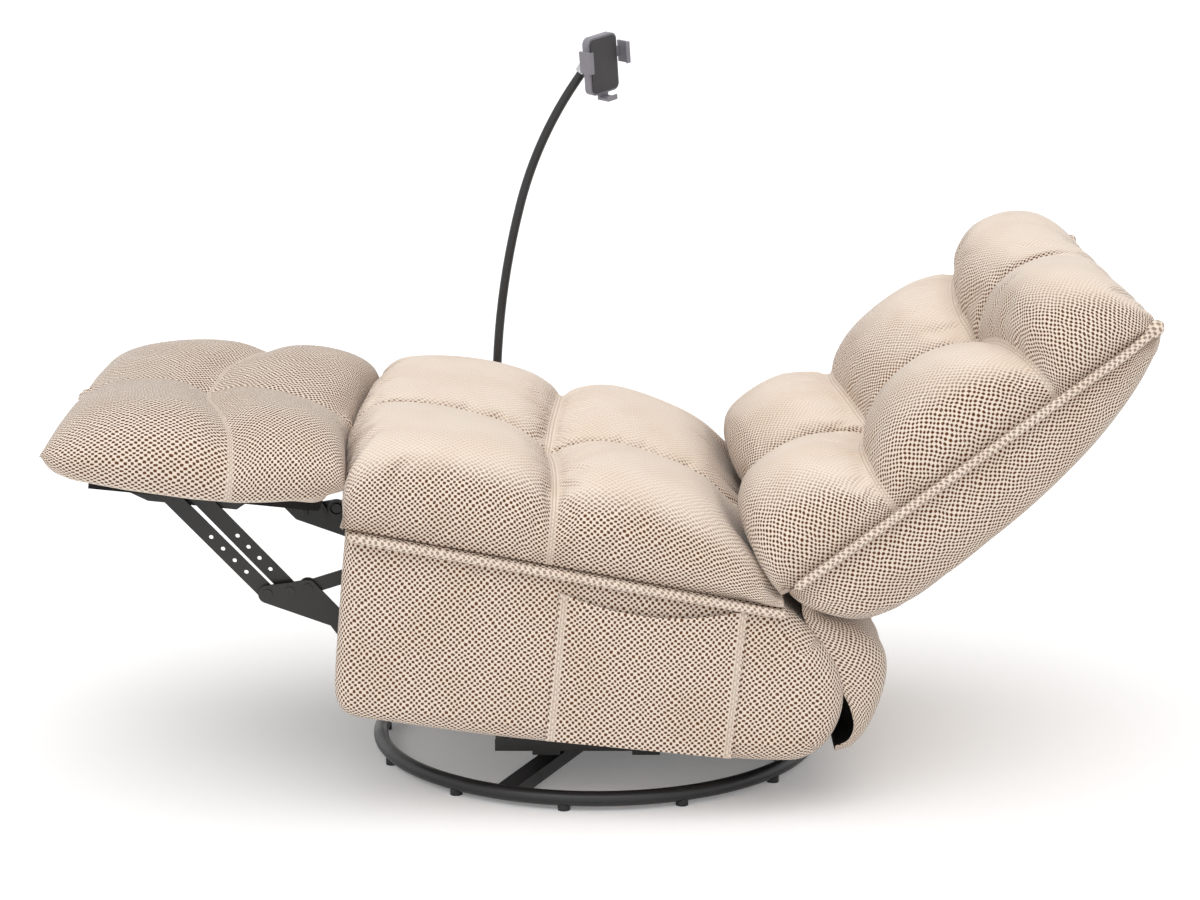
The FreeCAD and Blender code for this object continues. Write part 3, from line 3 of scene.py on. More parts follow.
import bmesh
import bpy
import numpy as np
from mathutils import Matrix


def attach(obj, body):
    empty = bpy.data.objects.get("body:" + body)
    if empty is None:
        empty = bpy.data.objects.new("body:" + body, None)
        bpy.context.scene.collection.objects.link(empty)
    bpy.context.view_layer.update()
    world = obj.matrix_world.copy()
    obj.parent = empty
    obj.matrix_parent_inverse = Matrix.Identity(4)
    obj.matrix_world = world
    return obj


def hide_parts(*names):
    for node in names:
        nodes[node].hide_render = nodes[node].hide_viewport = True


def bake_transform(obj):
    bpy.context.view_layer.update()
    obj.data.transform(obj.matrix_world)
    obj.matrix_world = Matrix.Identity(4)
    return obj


print("stage: frame")
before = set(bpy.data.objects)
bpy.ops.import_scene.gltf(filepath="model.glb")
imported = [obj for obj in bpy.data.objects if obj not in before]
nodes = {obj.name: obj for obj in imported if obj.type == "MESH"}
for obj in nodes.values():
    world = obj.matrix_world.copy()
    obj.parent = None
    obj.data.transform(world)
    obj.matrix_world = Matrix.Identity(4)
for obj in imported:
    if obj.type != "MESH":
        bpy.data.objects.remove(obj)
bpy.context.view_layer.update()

# the chair rests rocked back: level millimetres turn about this point of the side view
rocking = {"leanDeg": 5.8, "pivotZ": 125.0}
backAxis = {"startX": 249.0, "startZ": 365.0, "slopeDeg": 42.4}


def pointGrid(*axes):  # matching arrays or numbers to one array of points
    return np.stack(np.broadcast_arrays(*axes), axis=-1)


def settle(x, y, z):  # level millimetres, turned by the lean about the pivot, to the rest place in metres
    lean = math.radians(rocking["leanDeg"])
    rise = z - rocking["pivotZ"]
    return pointGrid(x * math.cos(lean) + rise * math.sin(lean), y,
                     rocking["pivotZ"] - x * math.sin(lean) + rise * math.cos(lean)) / 1000


def levelToWorld(grid):  # an array of level points to metres
    return settle(grid[..., 0], grid[..., 1], grid[..., 2])


def leanOnBack(along, out):  # the back's own along and out values to level X and Z
    slope = math.radians(backAxis["slopeDeg"])
    return (backAxis["startX"] + along * math.cos(slope) - out * math.sin(slope),
            backAxis["startZ"] + along * math.sin(slope) + out * math.cos(slope))


def backToWorld(grid):  # an array of (along, across, out) points of the back to metres
    x, z = leanOnBack(grid[..., 0], grid[..., 2])
    return settle(x, grid[..., 1], z)


# curves, grids and meshes
densePoints = 16  # a cubic is drawn with this many points before it is divided evenly


def tangentsOf(points, gap):  # at each point the mean of the slopes before and after, the nearer one weighing more
    slope = np.diff(points, axis=0) / gap
    inner = (slope[:-1] * gap[1:] + slope[1:] * gap[:-1]) / (gap[1:] + gap[:-1])
    return np.concatenate([slope[:1], inner, slope[-1:]])


def cubic(a, b, leaving, arriving, t):  # from a to b as t goes from 0 to 1, with these tangents at its ends
    return (a * (1 + 2 * t) * (1 - t) ** 2 + leaving * t * (1 - t) ** 2 + b * t * t * (3 - 2 * t)
            - arriving * t * t * (1 - t))


def lengthAlong(run):  # running length from the run's first point
    return np.concatenate([[0], np.cumsum(np.linalg.norm(np.diff(run, axis=0), axis=1))])


def smoothRun(points, count):
    # cubics through the points, knots apart by the root of the distance, then evenly spaced by length
    p = np.asarray(points, float)
    gap = np.sqrt(np.linalg.norm(np.diff(p, axis=0), axis=1))[:, None]
    tangent = tangentsOf(p, gap)
    t = np.linspace(0, 1, densePoints)[None, :, None]
    dense = cubic(p[:-1, None, :], p[1:, None, :], (tangent[:-1] * gap)[:, None, :],
                  (tangent[1:] * gap)[:, None, :], t).reshape(-1, p.shape[1])
    length = lengthAlong(dense)
    even = np.linspace(0, length[-1], count)
    return pointGrid(*(np.interp(even, length, axis) for axis in dense.T))


def rowRun(rows, counts):  # several rows of panels in one rail; they share their seam points
    parts = [smoothRun(row, count + 1) for row, count in zip(rows, counts)]
    return np.vstack([part[:-1] for part in parts[:-1]] + [parts[-1]])


def acrossRails(rails, counts):
    # rails is (rail, place along, 3); the same cubics run through the rails at every place along
    gap = np.maximum(np.sqrt(np.linalg.norm(np.diff(rails, axis=0), axis=-1)), 1e-6)[..., None]
    tangent = tangentsOf(rails, gap)
    strips = [cubic(rails[k][None], rails[k + 1][None], (tangent[k] * gap[k])[None],
                    (tangent[k + 1] * gap[k])[None], (np.arange(count) / count)[:, None, None])
              for k, count in enumerate(counts)]
    return np.concatenate(strips + [rails[-1][None]])


def makeMesh(name, points, faces, outward=True):  # a smooth mesh at the origin whose faces point outwards
    mesh = bpy.data.meshes.new(name)
    mesh.from_pydata(points.reshape(-1, 3).tolist(), [], faces)
    mesh.validate()
    piece = bpy.data.objects.new(name, mesh)
    bpy.context.scene.collection.objects.link(piece)
    mesh.polygons.foreach_set("use_smooth", np.ones(len(mesh.polygons), bool))
    if outward:
        shape = bmesh.new()
        shape.from_mesh(mesh)
        bmesh.ops.recalc_face_normals(shape, faces=shape.faces)
        shape.to_mesh(mesh)
        shape.free()
    return piece


def gridFaces(rows, columns, loopRows=False, loopColumns=False):  # quads of a grid, closed where it loops
    r = np.arange(rows if loopRows else rows - 1)[:, None]
    c = np.arange(columns if loopColumns else columns - 1)[None, :]
    r1, c1 = (r + 1) % rows, (c + 1) % columns
    return pointGrid(r * columns + c, r1 * columns + c, r1 * columns + c1, r * columns + c1).reshape(-1, 4).tolist()


def sheetFaces(rows, columns):  # two skins and the rim between them
    total = rows * columns
    number = np.arange(total).reshape(rows, columns)
    front = np.array(gridFaces(rows, columns))
    rim = np.concatenate([number[0], number[1:, -1], number[-1, -2::-1], number[-2:0:-1, 0]])
    after = np.roll(rim, -1)
    edge = pointGrid(rim, after, total + after, total + rim)
    return np.concatenate([front, total + front[:, ::-1], edge]).tolist()


def makeSheet(name, outer, inner, mirror=1):  # a cloth with its two skins as grids of level points
    points = np.concatenate([outer.reshape(-1, 3), inner.reshape(-1, 3)]) * np.array([1.0, mirror, 1.0])
    return makeMesh(name, levelToWorld(points), sheetFaces(*outer.shape[:2])), points


def gridNormals(grid):  # cross product of the slopes down and across, made one long
    normal = np.cross(np.gradient(grid, axis=0), np.gradient(grid, axis=1))
    return normal / np.maximum(np.linalg.norm(normal, axis=2), 1e-9)[..., None]


def tubePiece(name, path, radius, around):
    # a circle of its own radius at each point of the path, on frames that keep the Y axis, with flat ends
    tangent = np.gradient(path, axis=0)
    tangent /= np.linalg.norm(tangent, axis=1)[:, None]
    side = np.tile([0.0, 1.0, 0.0], (len(path), 1))
    side -= tangent * np.sum(side * tangent, axis=1)[:, None]
    side /= np.linalg.norm(side, axis=1)[:, None]
    other = np.cross(tangent, side)
    turn = np.linspace(0, 2 * math.pi, around, endpoint=False)[None, :, None]
    points = path[:, None, :] + radius[:, None, None] * (np.cos(turn) * side[:, None, :]
                                                         + np.sin(turn) * other[:, None, :])
    faces = gridFaces(len(path), around, loopColumns=True)
    faces.append(list(range(around))[::-1])
    faces.append(list(range((len(path) - 1) * around, len(path) * around)))
    return makeMesh(name, points, faces)


def setField(piece, name, values):  # one vector for each vertex, read by the cloth materials
    field = piece.data.attributes.new(name, "FLOAT_VECTOR", "POINT")
    field.data.foreach_set("vector", np.ascontiguousarray(values, np.float32).ravel())


def readVectors(items, key):  # a mesh's points or normals as rows of three
    values = np.empty(len(items) * 3)
    items.foreach_get(key, values)
    return values.reshape(-1, 3)


def writePoints(mesh, points):
    mesh.vertices.foreach_set("co", np.ascontiguousarray(points, np.float32).ravel())
    mesh.update()


def subdivide(piece):
    finer = piece.modifiers.new("finer", "SUBSURF")
    finer.levels = finer.render_levels = 1


# materials


def hexLinear(code):  # sRGB hex to linear, by the standard's straight foot and its power
    parts = [int(code[k:k + 2], 16) / 255 for k in (1, 3, 5)]
    return tuple(c / 12.92 if c <= 0.04045 else ((c + 0.055) / 1.055) ** 2.4 for c in parts) + (1.0,)


def addNode(tree, kind, links=None, **settings):
    # a shader node with its settings; links maps an input's name or number to a value, an output or a node
    node = tree.nodes.new("ShaderNode" + kind)
    for key, value in settings.items():
        setattr(node, key, value)
    for key, value in (links or {}).items():
        if isinstance(value, bpy.types.Node):
            value = value.outputs[0]
        if isinstance(value, bpy.types.NodeSocket):
            tree.links.new(value, node.inputs[key])
        else:
            node.inputs[key].default_value = value
    return node


def newMaterial(name):
    material = bpy.data.materials.new(name)
    material.use_nodes = True
    tree = material.node_tree
    return material, tree, tree.nodes["Principled BSDF"]


smooth = {"interpolation_type": "SMOOTHSTEP"}

# open polyester mesh cloth, pale doubled yarns round small holes on a half-drop grid: matt and soft, dotted dark where
# one looks into its holes, paler on the welts, and plain pale on the upward-facing tops as painted top light; pitches
# and band widths are the real ones
meshCloth = {"pitchMm": 8.6, "rowMm": 4.2, "holes": {"From Min": -0.06, "From Max": 0.44}, "closingAndTopLight": 0.8,
             "yarn": "#EDDDCD", "yarnShade": "#E6D2BF", "hole": "#633C20", "bump": 0.9, "bumpMm": 1.4,
             "rough": 0.92, "specular": 0.15, "sheen": 0.3, "sheenRough": 0.4, "wanderScale": 60.0,
             "wander": (0.004, 0.004, 0.0), "patchScale": 11.0,
             "patches": {"From Min": 0.35, "From Max": 0.75, "To Max": 0.5},
             "bandM": {"From Min": 0.0042, "From Max": 0.0062}, "bandClosing": 0.6, "ribPitchM": 0.0038,
             "ribs": {"From Min": -0.9, "From Max": 0.1, "To Min": 0.34, "To Max": 0.0}}


def meshClothMaterial(name, cloth, seams):
    # the holes sit where cos(2 pi s / pitch) x cos(pi t / row) is high, s and t running along and across the cloth
    material, tree, shader = newMaterial(name)
    place = addNode(tree, "Attribute", attribute_name="clothPlace").outputs["Vector"]
    wander = addNode(tree, "TexNoise", {"Vector": place, "Scale": cloth["wanderScale"], "Detail": 0.0},
                     noise_dimensions="2D").outputs["Color"]
    shifted = addNode(tree, "VectorMath", {0: wander, 1: cloth["wander"], 2: place}, operation="MULTIPLY_ADD")
    split = addNode(tree, "SeparateXYZ", {0: shifted}).outputs
    waves = []
    for axis, turns in (("X", 2 * math.pi * 1000 / cloth["pitchMm"]), ("Y", math.pi * 1000 / cloth["rowMm"])):
        wave = addNode(tree, "Math", {0: split[axis], 1: turns}, operation="MULTIPLY")
        waves.append(addNode(tree, "Math", {0: wave}, operation="COSINE"))
    dots = addNode(tree, "Math", dict(enumerate(waves)), operation="MULTIPLY")
    hole = addNode(tree, "MapRange", {"Value": dots, **cloth["holes"]}, **smooth)
    # painted top light: the holes fade by the share in place Z, which on the cushions grows as the skin faces up, so
    # the lit tops come out plain pale; on the welts a fixed share closes them a little
    holesLeftUnderTopLight = addNode(tree, "Math", {0: split["Z"], 1: -cloth["closingAndTopLight"], 2: 1.0}, operation="MULTIPLY_ADD")
    hole = addNode(tree, "Math", {0: hole, 1: holesLeftUnderTopLight}, operation="MULTIPLY")
    patchy = addNode(tree, "TexNoise", {"Vector": place, "Scale": cloth["patchScale"], "Detail": 1.0},
                     noise_dimensions="2D")
    patchy = addNode(tree, "MapRange", {"Value": patchy, **cloth["patches"]}, **smooth)
    yarn = addNode(tree, "Mix", {0: patchy, 6: hexLinear(cloth["yarn"]), 7: hexLinear(cloth["yarnShade"])},
                   data_type="RGBA").outputs[2]
    if seams:
        # along the sewn bands the holes half close and three stitched ribs run
        gap = addNode(tree, "Attribute", attribute_name="seamGap").outputs["Vector"]
        gap = addNode(tree, "SeparateXYZ", {0: gap}).outputs["X"]
        far = addNode(tree, "Math", {0: gap}, operation="ABSOLUTE")
        far = addNode(tree, "MapRange", {"Value": far, **cloth["bandM"]}, **smooth)
        band = addNode(tree, "Math", {0: 1.0, 1: far}, operation="SUBTRACT")
        ribs = addNode(tree, "Math", {0: gap, 1: 2 * math.pi / cloth["ribPitchM"]}, operation="MULTIPLY")
        ribs = addNode(tree, "Math", {0: ribs}, operation="COSINE")
        groove = addNode(tree, "MapRange", {"Value": ribs, **cloth["ribs"]}, **smooth)
        groove = addNode(tree, "Math", {0: groove, 1: band}, operation="MULTIPLY")
        half = addNode(tree, "Math", {0: band, 1: -cloth["bandClosing"], 2: 1.0}, operation="MULTIPLY_ADD")
        hole = addNode(tree, "Math", {0: hole, 1: half}, operation="MULTIPLY")
        hole = addNode(tree, "Math", {0: hole, 1: groove}, operation="MAXIMUM")
    colour = addNode(tree, "Mix", {0: hole, 6: yarn, 7: hexLinear(cloth["hole"])}, data_type="RGBA")
    bump = addNode(tree, "Bump", {"Strength": cloth["bump"], "Distance": cloth["bumpMm"] / 1000,
                                  "Height": hole}, invert=True)
    tree.links.new(colour.outputs[2], shader.inputs["Base Color"])
    tree.links.new(bump.outputs[0], shader.inputs["Normal"])
    for socket, key in (("Roughness", "rough"), ("Specular IOR Level", "specular"), ("Sheen Weight", "sheen"),
                        ("Sheen Roughness", "sheenRough")):
        shader.inputs[socket].default_value = cloth[key]
    return material


# slow clouds in every plain finish: how colour and roughness wander over a hand's breadth
clouds = {"scale": 14.0, "detail": 4.0, "colours": {"From Min": 0.35, "From Max": 0.7},
          "roughs": {"From Min": 0.3, "From Max": 0.75}, "roughSpread": 0.06, "roughLeast": 0.02,
          "grainDetail": 2.0, "grainBump": 0.6}


def plainMaterial(name, look):
    # one finish whose colour and roughness vary a little, with a fine grain, both in Object coordinates
    material, tree, shader = newMaterial(name)
    place = addNode(tree, "TexCoord").outputs["Object"]
    cloud = addNode(tree, "TexNoise", {"Vector": place, "Scale": clouds["scale"], "Detail": clouds["detail"]})
    share = addNode(tree, "MapRange", {"Value": cloud, **clouds["colours"]}, **smooth)
    tone = addNode(tree, "Mix", {0: share, 6: hexLinear(look["colour"]),
                                 7: hexLinear(look.get("spread", look["colour"]))}, data_type="RGBA")
    tree.links.new(tone.outputs[2], shader.inputs["Base Color"])
    rough = addNode(tree, "MapRange", {
        "Value": cloud, **clouds["roughs"], "To Min": max(look["rough"] - clouds["roughSpread"], clouds["roughLeast"]),
        "To Max": min(look["rough"] + clouds["roughSpread"], 1.0)}, **smooth)
    tree.links.new(rough.outputs[0], shader.inputs["Roughness"])
    for socket, key in (("Metallic", "metallic"), ("Coat Weight", "coat"), ("Specular IOR Level", "specular")):
        if key in look:
            shader.inputs[socket].default_value = look[key]
    if "grain" in look:
        grain = addNode(tree, "TexNoise", {"Vector": place, "Scale": look["grain"], "Detail": clouds["grainDetail"]})
        bump = addNode(tree, "Bump", {"Strength": clouds["grainBump"], "Distance": look["depth"], "Height": grain})
        tree.links.new(bump.outputs[0], shader.inputs["Normal"])
    return material


print("stage: materials")
# each finish: its colour and the colour that it wanders to, roughness, the grain's scale per metre and its depth in
# metres, and the CAD nodes that have it; grains too fine to show are drawn one to three millimetres wide
finishes = {
    # powder coating: an even satin black with a faint orange peel
    "powderCoatedSteel": {
        "colour": "#1C1C1E", "spread": "#232325", "rough": 0.38, "grain": 900.0, "depth": 0.00006,
        "nodes": ["base_ring", "base_crossbars", "actuator_motor"]},
    # dipped black on pressed steel: a little browner and duller, with soft edges of light on the plates
    "blackCoatedSteel": {
        "colour": "#1F1D1C", "spread": "#2A2726", "rough": 0.42, "grain": 500.0, "depth": 0.00008,
        "nodes": ["swivel_lower_race", "swivel_upper_race", "king_bolt", "rocker_cross_members", "rocker_rails",
                  "rocker_cams", "cross_tubes", "mechanism_side_plates", "plate_rivets", "neck_bracket",
                  "carry_links", "carry_rivets", "rear_long_links", "front_long_links", "drive_links",
                  "torque_tube", "footrest_brackets", "back_brackets", "stay_links"]},
    # zinc plating: cool bright grey with cloudy gloss
    "zincPlatedSteel": {
        "colour": "#B9BCC0", "spread": "#A3A6AA", "rough": 0.3, "metallic": 1.0, "grain": 300.0, "depth": 0.00005,
        "nodes": ["swivel_balls", "rocker_springs", "seat_springs", "actuator_tube", "actuator_rod"]},
    # moulded nylon feet: matt black
    "mouldedNylon": {
        "colour": "#1B1B1D", "spread": "#222224", "rough": 0.55, "grain": 400.0, "depth": 0.0001,
        "nodes": ["base_glides"]},
    # sawn timber of the hidden frame: dry, pale and streaky
    "sawnPoplar": {
        "colour": "#C8A878", "spread": "#B08C5C", "rough": 0.7, "grain": 120.0, "depth": 0.0004,
        "nodes": ["side_panels", "side_blocks", "seat_rear_rail", "back_frame"]},
    # woven deck cloth and straps: dark and dry
    "wovenPolypropylene": {
        "colour": "#3A3937", "spread": "#484643", "rough": 0.85, "grain": 500.0, "depth": 0.0004,
        "nodes": ["seat_deck", "back_straps"]},
    # glass-filled nylon gearbox: dull black with a fine tooth
    "glassFilledNylon": {
        "colour": "#222224", "spread": "#2A2A2C", "rough": 0.5, "grain": 600.0, "depth": 0.0001,
        "nodes": ["actuator_gearbox"]},
    # gloss ABS panel: clear window-like highlights
    "glossAbs": {
        "colour": "#1A1A1C", "spread": "#1E1E20", "rough": 0.15, "coat": 0.3, "nodes": ["control_panel"]},
    # soft-touch keys: mid grey without shine
    "softTouchKeys": {
        "colour": "#58585C", "spread": "#606064", "rough": 0.6, "grain": 800.0, "depth": 0.00005,
        "nodes": ["recline_button", "return_button"]},
    # PVC sleeve of the arm: a soft long highlight
    "pvcSleeve": {
        "colour": "#222223", "spread": "#2B2B2D", "rough": 0.45, "grain": 600.0, "depth": 0.00008,
        "nodes": ["gooseneck"]},
    # nickel plating: mirror-like and faintly warm
    "nickelPlatedSteel": {
        "colour": "#C8C8CC", "rough": 0.18, "metallic": 1.0, "nodes": ["ball_nut", "holder_ball"]},
    # moulded grey ABS: a satin skin with fine spark texture
    "mouldedGreyAbs": {
        "colour": "#7E7C84", "spread": "#8A8890", "rough": 0.42, "grain": 700.0, "depth": 0.00005,
        "nodes": ["holder_socket", "holder_body", "jaw_left", "jaw_right", "phone_foot"]},
    # soft rubber pad: velvety dark grey
    "softRubberPad": {
        "colour": "#39383B", "spread": "#414043", "rough": 0.6, "grain": 900.0, "depth": 0.00006,
        "nodes": ["face_pad"]},
    # polyester lining over the front rail: dull and pale, with a short nap
    "polyesterLining": {
        "colour": "#DCC9B6", "spread": "#D0BBA6", "rough": 0.92, "specular": 0.2, "grain": 650.0, "depth": 0.0005,
        "nodes": ["seat_front_rail"]},
    # black non-woven dust cover: dead matt and fibrous
    "blackNonWovenCover": {
        "colour": "#1E1D1C", "spread": "#2A2827", "rough": 0.85, "specular": 0.2, "grain": 600.0, "depth": 0.0002,
        "nodes": ["footrest_board"]}}
finish = {name: plainMaterial(name, look) for name, look in finishes.items()}
for name, look in finishes.items():
    for nodeName in look["nodes"]:
        nodes[nodeName].data.materials.clear()
        nodes[nodeName].data.materials.append(finish[name])
quiltedCloth = meshClothMaterial("openMeshPolyesterQuilted", meshCloth, True)
plainCloth = meshClothMaterial("openMeshPolyester", meshCloth, False)


def finishPiece(piece, material, body, replaced=()):
    piece.data.materials.clear()
    piece.data.materials.append(material)
    if body:
        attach(piece, body)
    if replaced:
        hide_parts(*replaced)


# quilted cushions: each is a closed grid, row by row along the seat and once round across it; what they share
# comes first, and a cushion's own dictionary has its own value where it differs
usual = {"skirt": 14, "clothShare": 1.04, "seamShare": {"near": 0.34, "far": 0.2}, "sideDraw": 9.0,
         "pressure": 4.0, "looseness": 0.03, "bending": 0.8, "frames": 20, "capMm": 8.0,
         "crossSeamDepth": 0.006, "longSeamDepth": 0.007, "toWorld": levelToWorld}
airCloth = {"quality": 4, "mass": 0.3, "tension_stiffness": 18, "compression_stiffness": 18, "shear_stiffness": 8}
seamPull = {"crossFlat": 0.005, "crossReach": 0.010, "longReach": 0.011, "fadeReach": 0.30, "fadeLeast": 0.35,
            "crossSewn": 0.006, "longSewn": 0.004, "pinchPower": 1.25}  # lengths in metres
paintedTopLight = {"from": 0.55, "over": 0.35}  # how far up a skin faces where the painted top light begins to fade its holes, and over how much more it grows full
tuckPart = 6  # one column in this many goes in under the edge


def halfSection(rails, acrossCounts, skirt):
    # from the long seam over the crown to the base edge, then in under the cushion to its middle
    top = acrossRails(rails["top"], acrossCounts)
    steps = sum(acrossCounts)
    edge, middle = rails["top"][-1], rails["underMiddle"]
    tuck = edge.copy()
    tuck[:, 1] = edge[:, 1] - skirt
    tuck[:, 2] = middle[:, 2]
    first = steps // tuckPart
    inwards = np.linspace(0, 1, first + 1)[1:, None, None]
    across = np.linspace(0, 1, steps - first + 1)[1:, None, None]
    return np.concatenate([top, edge * (1 - inwards) + tuck * inwards, tuck * (1 - across) + middle * across])


def cushionGrid(nearRails, farRails, acrossCounts, skirt):  # the far half, then the near half back to the seam
    near = halfSection(nearRails, acrossCounts, skirt) * np.array([1.0, -1.0, 1.0])
    far = halfSection(farRails, acrossCounts, skirt)
    loop = np.concatenate([far, near[1:-1][::-1]])
    return np.transpose(loop, (1, 0, 2)), sum(acrossCounts)


def cushionFaces(rows, steps):  # the closed grid and its two ends, each laced between the top and the underside
    columns = 4 * steps
    faces = gridFaces(rows, columns, loopColumns=True)
    for base in (0, (rows - 1) * columns):
        for i in range(steps):
            faces.append([base + k for k in (i, i + 1, 2 * steps - i - 1, 2 * steps - i)])
            faces.append([base + k % columns
                          for k in (4 * steps - i, 4 * steps - i - 1, 2 * steps + i + 1, 2 * steps + i)])
    return [list(dict.fromkeys(face)) for face in faces]


def loopPlaces(rows, columns):  # each vertex's row and how many columns it is from the long seam
    row, column = np.divmod(np.arange(rows * columns), columns)
    return row, np.minimum(column, columns - column)


def clothFields(grid, steps, seamRows):
    # s follows the crown, t runs out from the long seam on each side as measured on the row a third of the way;
    # the gaps are to the nearest cross seam and to the long seam
    s = lengthAlong(grid[:, steps // 3])
    stretch = np.linalg.norm(np.diff(grid, axis=1, append=grid[:, :1]), axis=2)
    third = stretch[len(s) // 3]
    farSide = np.concatenate([[0], np.cumsum(third[:2 * steps])])
    nearSide = np.concatenate([[0], np.cumsum(third[:2 * steps - 1:-1])])
    t = np.concatenate([farSide, -nearSide[1:-1][::-1]])
    offset = s[:, None] - s[list(seamRows)][None, :]
    nearest = offset[np.arange(len(s)), np.abs(offset).argmin(axis=1)]
    return pointGrid(s[:, None], t[None, :], 0.0), pointGrid(nearest[:, None], t[None, :], 1.0)


def inflate(piece, hold, options):
    # air pressure blows the skin out while its sewn lines are held; a point's way d becomes cap x tanh(d / cap)
    group = piece.vertex_groups.new(name="sewn")
    group.add(np.nonzero(hold)[0].tolist(), 1.0, "REPLACE")
    start = readVectors(piece.data.vertices, "co")
    cloth = piece.modifiers.new("air", "CLOTH")
    for key, value in airCloth.items():
        setattr(cloth.settings, key, value)
    cloth.settings.vertex_group_mass = "sewn"
    cloth.settings.use_pressure = True
    cloth.settings.uniform_pressure_force = options["pressure"]
    cloth.settings.shrink_min = cloth.settings.shrink_max = -options["looseness"]
    cloth.settings.bending_stiffness = options["bending"]
    cloth.settings.effector_weights.gravity = 0
    cloth.collision_settings.use_collision = False
    cloth.collision_settings.use_self_collision = False
    scene = bpy.context.scene
    for timed in (scene, cloth.point_cache):
        timed.frame_start, timed.frame_end = 1, options["frames"]
    for number in range(1, options["frames"] + 1):
        scene.frame_set(number)
    shown = piece.evaluated_get(bpy.context.evaluated_depsgraph_get())
    moved = readVectors(shown.data.vertices, "co") - start
    length = np.linalg.norm(moved, axis=1)[:, None]
    cap = options["capMm"] / 1000
    moved *= cap * np.tanh(length / cap) / np.maximum(length, 1e-9)
    piece.modifiers.remove(cloth)
    piece.vertex_groups.remove(group)
    writePoints(piece.data, start + moved)
    scene.frame_set(1)


def tightenSeams(piece, gap, crossDepth, longDepth):
    # sewn lines pull the skin in: depth x exp(-distance / reach) along the normal, less towards the sides
    fade = np.exp(-(np.abs(gap[:, 1]) / seamPull["fadeReach"]) ** 2)
    past = np.maximum(np.abs(gap[:, 0]) - seamPull["crossFlat"], 0)
    cross = crossDepth * np.exp(-past / seamPull["crossReach"]) * (
        seamPull["fadeLeast"] + (1 - seamPull["fadeLeast"]) * fade)
    long = longDepth * np.exp(-np.abs(gap[:, 1]) / seamPull["longReach"])
    inward = readVectors(piece.data.vertex_normals, "vector") * np.maximum(cross, long)[:, None]
    writePoints(piece.data, readVectors(piece.data.vertices, "co") - inward)


def railSet(shape, side):
    # rails from the long seam to the crown blend the two measured runs, less so near a cross seam;
    # past the crown they are shares of the height over the base edge
    crease, crown, flank = (rowRun(shape.get(key, shape["crown"]), shape["rowCounts"])
                            for key in ("crease", "crown", "flank"))
    length = lengthAlong(crown)
    seams = length[np.cumsum(shape["rowCounts"])[:-1]]
    away = np.abs(length[:, None] - seams[None, :]).min(axis=1)
    pinch = np.exp(-(away / shape["seamReach"]) ** seamPull["pinchPower"])
    level = np.clip(np.minimum(length, length[-1] - length) / shape["endReach"], 0, 1)
    rails = []
    for y, blend in shape["shoulders"][side]:
        # the two ends are sewn straight, so there all the rails come together in one line
        here = blend * (1 - shape["seamShare"][side] * pinch)
        here = (1 - level) + level * here if blend else 1 - level
        run = crease * (1 - here[:, None]) + crown * here[:, None]
        rails.append(pointGrid(run[:, 0], y, run[:, 1]))
    top = rails[-1]
    for y, share, toFlank in shape["sides"]:
        x = top[:, 0] * (1 - toFlank) + flank[:, 0] * toFlank
        base = shape["edgeLow"](x)
        peak = top[:, 2] * (1 - toFlank) + (flank[:, 1] - (crown[:, 1] - top[:, 2])) * toFlank
        drawn = shape["sideDraw"] * pinch * math.sin(math.pi * min(share, 1.0))
        rails.append(pointGrid(x, y - drawn, base + (np.maximum(peak, base) - base) * share))
    # along the run the ends and the seams shift by what the list gives for this distance from the middle
    stations = np.concatenate([[0], seams, [length[-1]]])
    wander = np.array(shape["drift"], float)
    for rail in rails:
        shift = [np.interp(rail[0, 1], wander[:, 0], wander[:, 1 + k]) for k in range(len(stations))]
        rail[:, 0] += np.interp(length, stations, shift)
    x = rails[-1][:, 0]
    return {"top": np.array(rails), "underMiddle": pointGrid(x, 0.0, shape["low"](x))}


def buildCushion(name, shape):
    # the two halves' grid, blown out by air, drawn in at its seams and divided once
    grid, steps = cushionGrid(railSet(shape, "near"), railSet(shape, "far"), shape["acrossCounts"], shape["skirt"])
    rows, columns = grid.shape[:2]
    place, gap = clothFields(grid, steps, np.cumsum(shape["rowCounts"])[:-1])
    gap = gap.reshape(-1, 3) / np.array([1000.0, 1000.0, 1.0])
    place = place.reshape(-1, 3) * shape["clothShare"] / 1000
    piece = makeMesh(name, shape["toWorld"](grid), cushionFaces(rows, steps))
    row, folded = loopPlaces(rows, columns)
    under = folded >= steps
    sewn = (np.abs(gap[:, 0]) < seamPull["crossSewn"]) | (np.abs(gap[:, 1]) < seamPull["longSewn"])
    inflate(piece, sewn | under | (row < 2) | (row > rows - 3), shape)
    gap[under, 1] = 1.0
    tightenSeams(piece, np.where(under[:, None], 1.0, gap), shape["crossSeamDepth"], shape["longSeamDepth"])
    # painted top light: 1 on the upper crowns, where the skin faces up and its holes fade so the lit tops come out
    # pale
    up = readVectors(piece.data.vertex_normals, "vector")[:, 2]
    place[:, 2] = np.clip((up - paintedTopLight["from"]) / paintedTopLight["over"], 0, 1)
    setField(piece, "clothPlace", place)
    setField(piece, "seamGap", gap)
    subdivide(piece)
    return piece


def heightAt(run):  # the height at a place along a run of (place, height) points
    places, heights = zip(*run)
    return lambda x: np.interp(x, places, heights)


print("stage: seat")
weltRun = {"frontX": -371.0, "frontZ": 384.0, "rearX": 239.0, "rearZ": 335.0, "liftMm": 0.6}


def weltLine(x):  # the straight line of the piping in the side view
    share = (x - weltRun["frontX"]) / (weltRun["rearX"] - weltRun["frontX"])
    return weltRun["frontZ"] + (weltRun["rearZ"] - weltRun["frontZ"]) * share


def seatLow(x):  # the cushion lies a little over that line
    return weltLine(x) + weltRun["liftMm"]


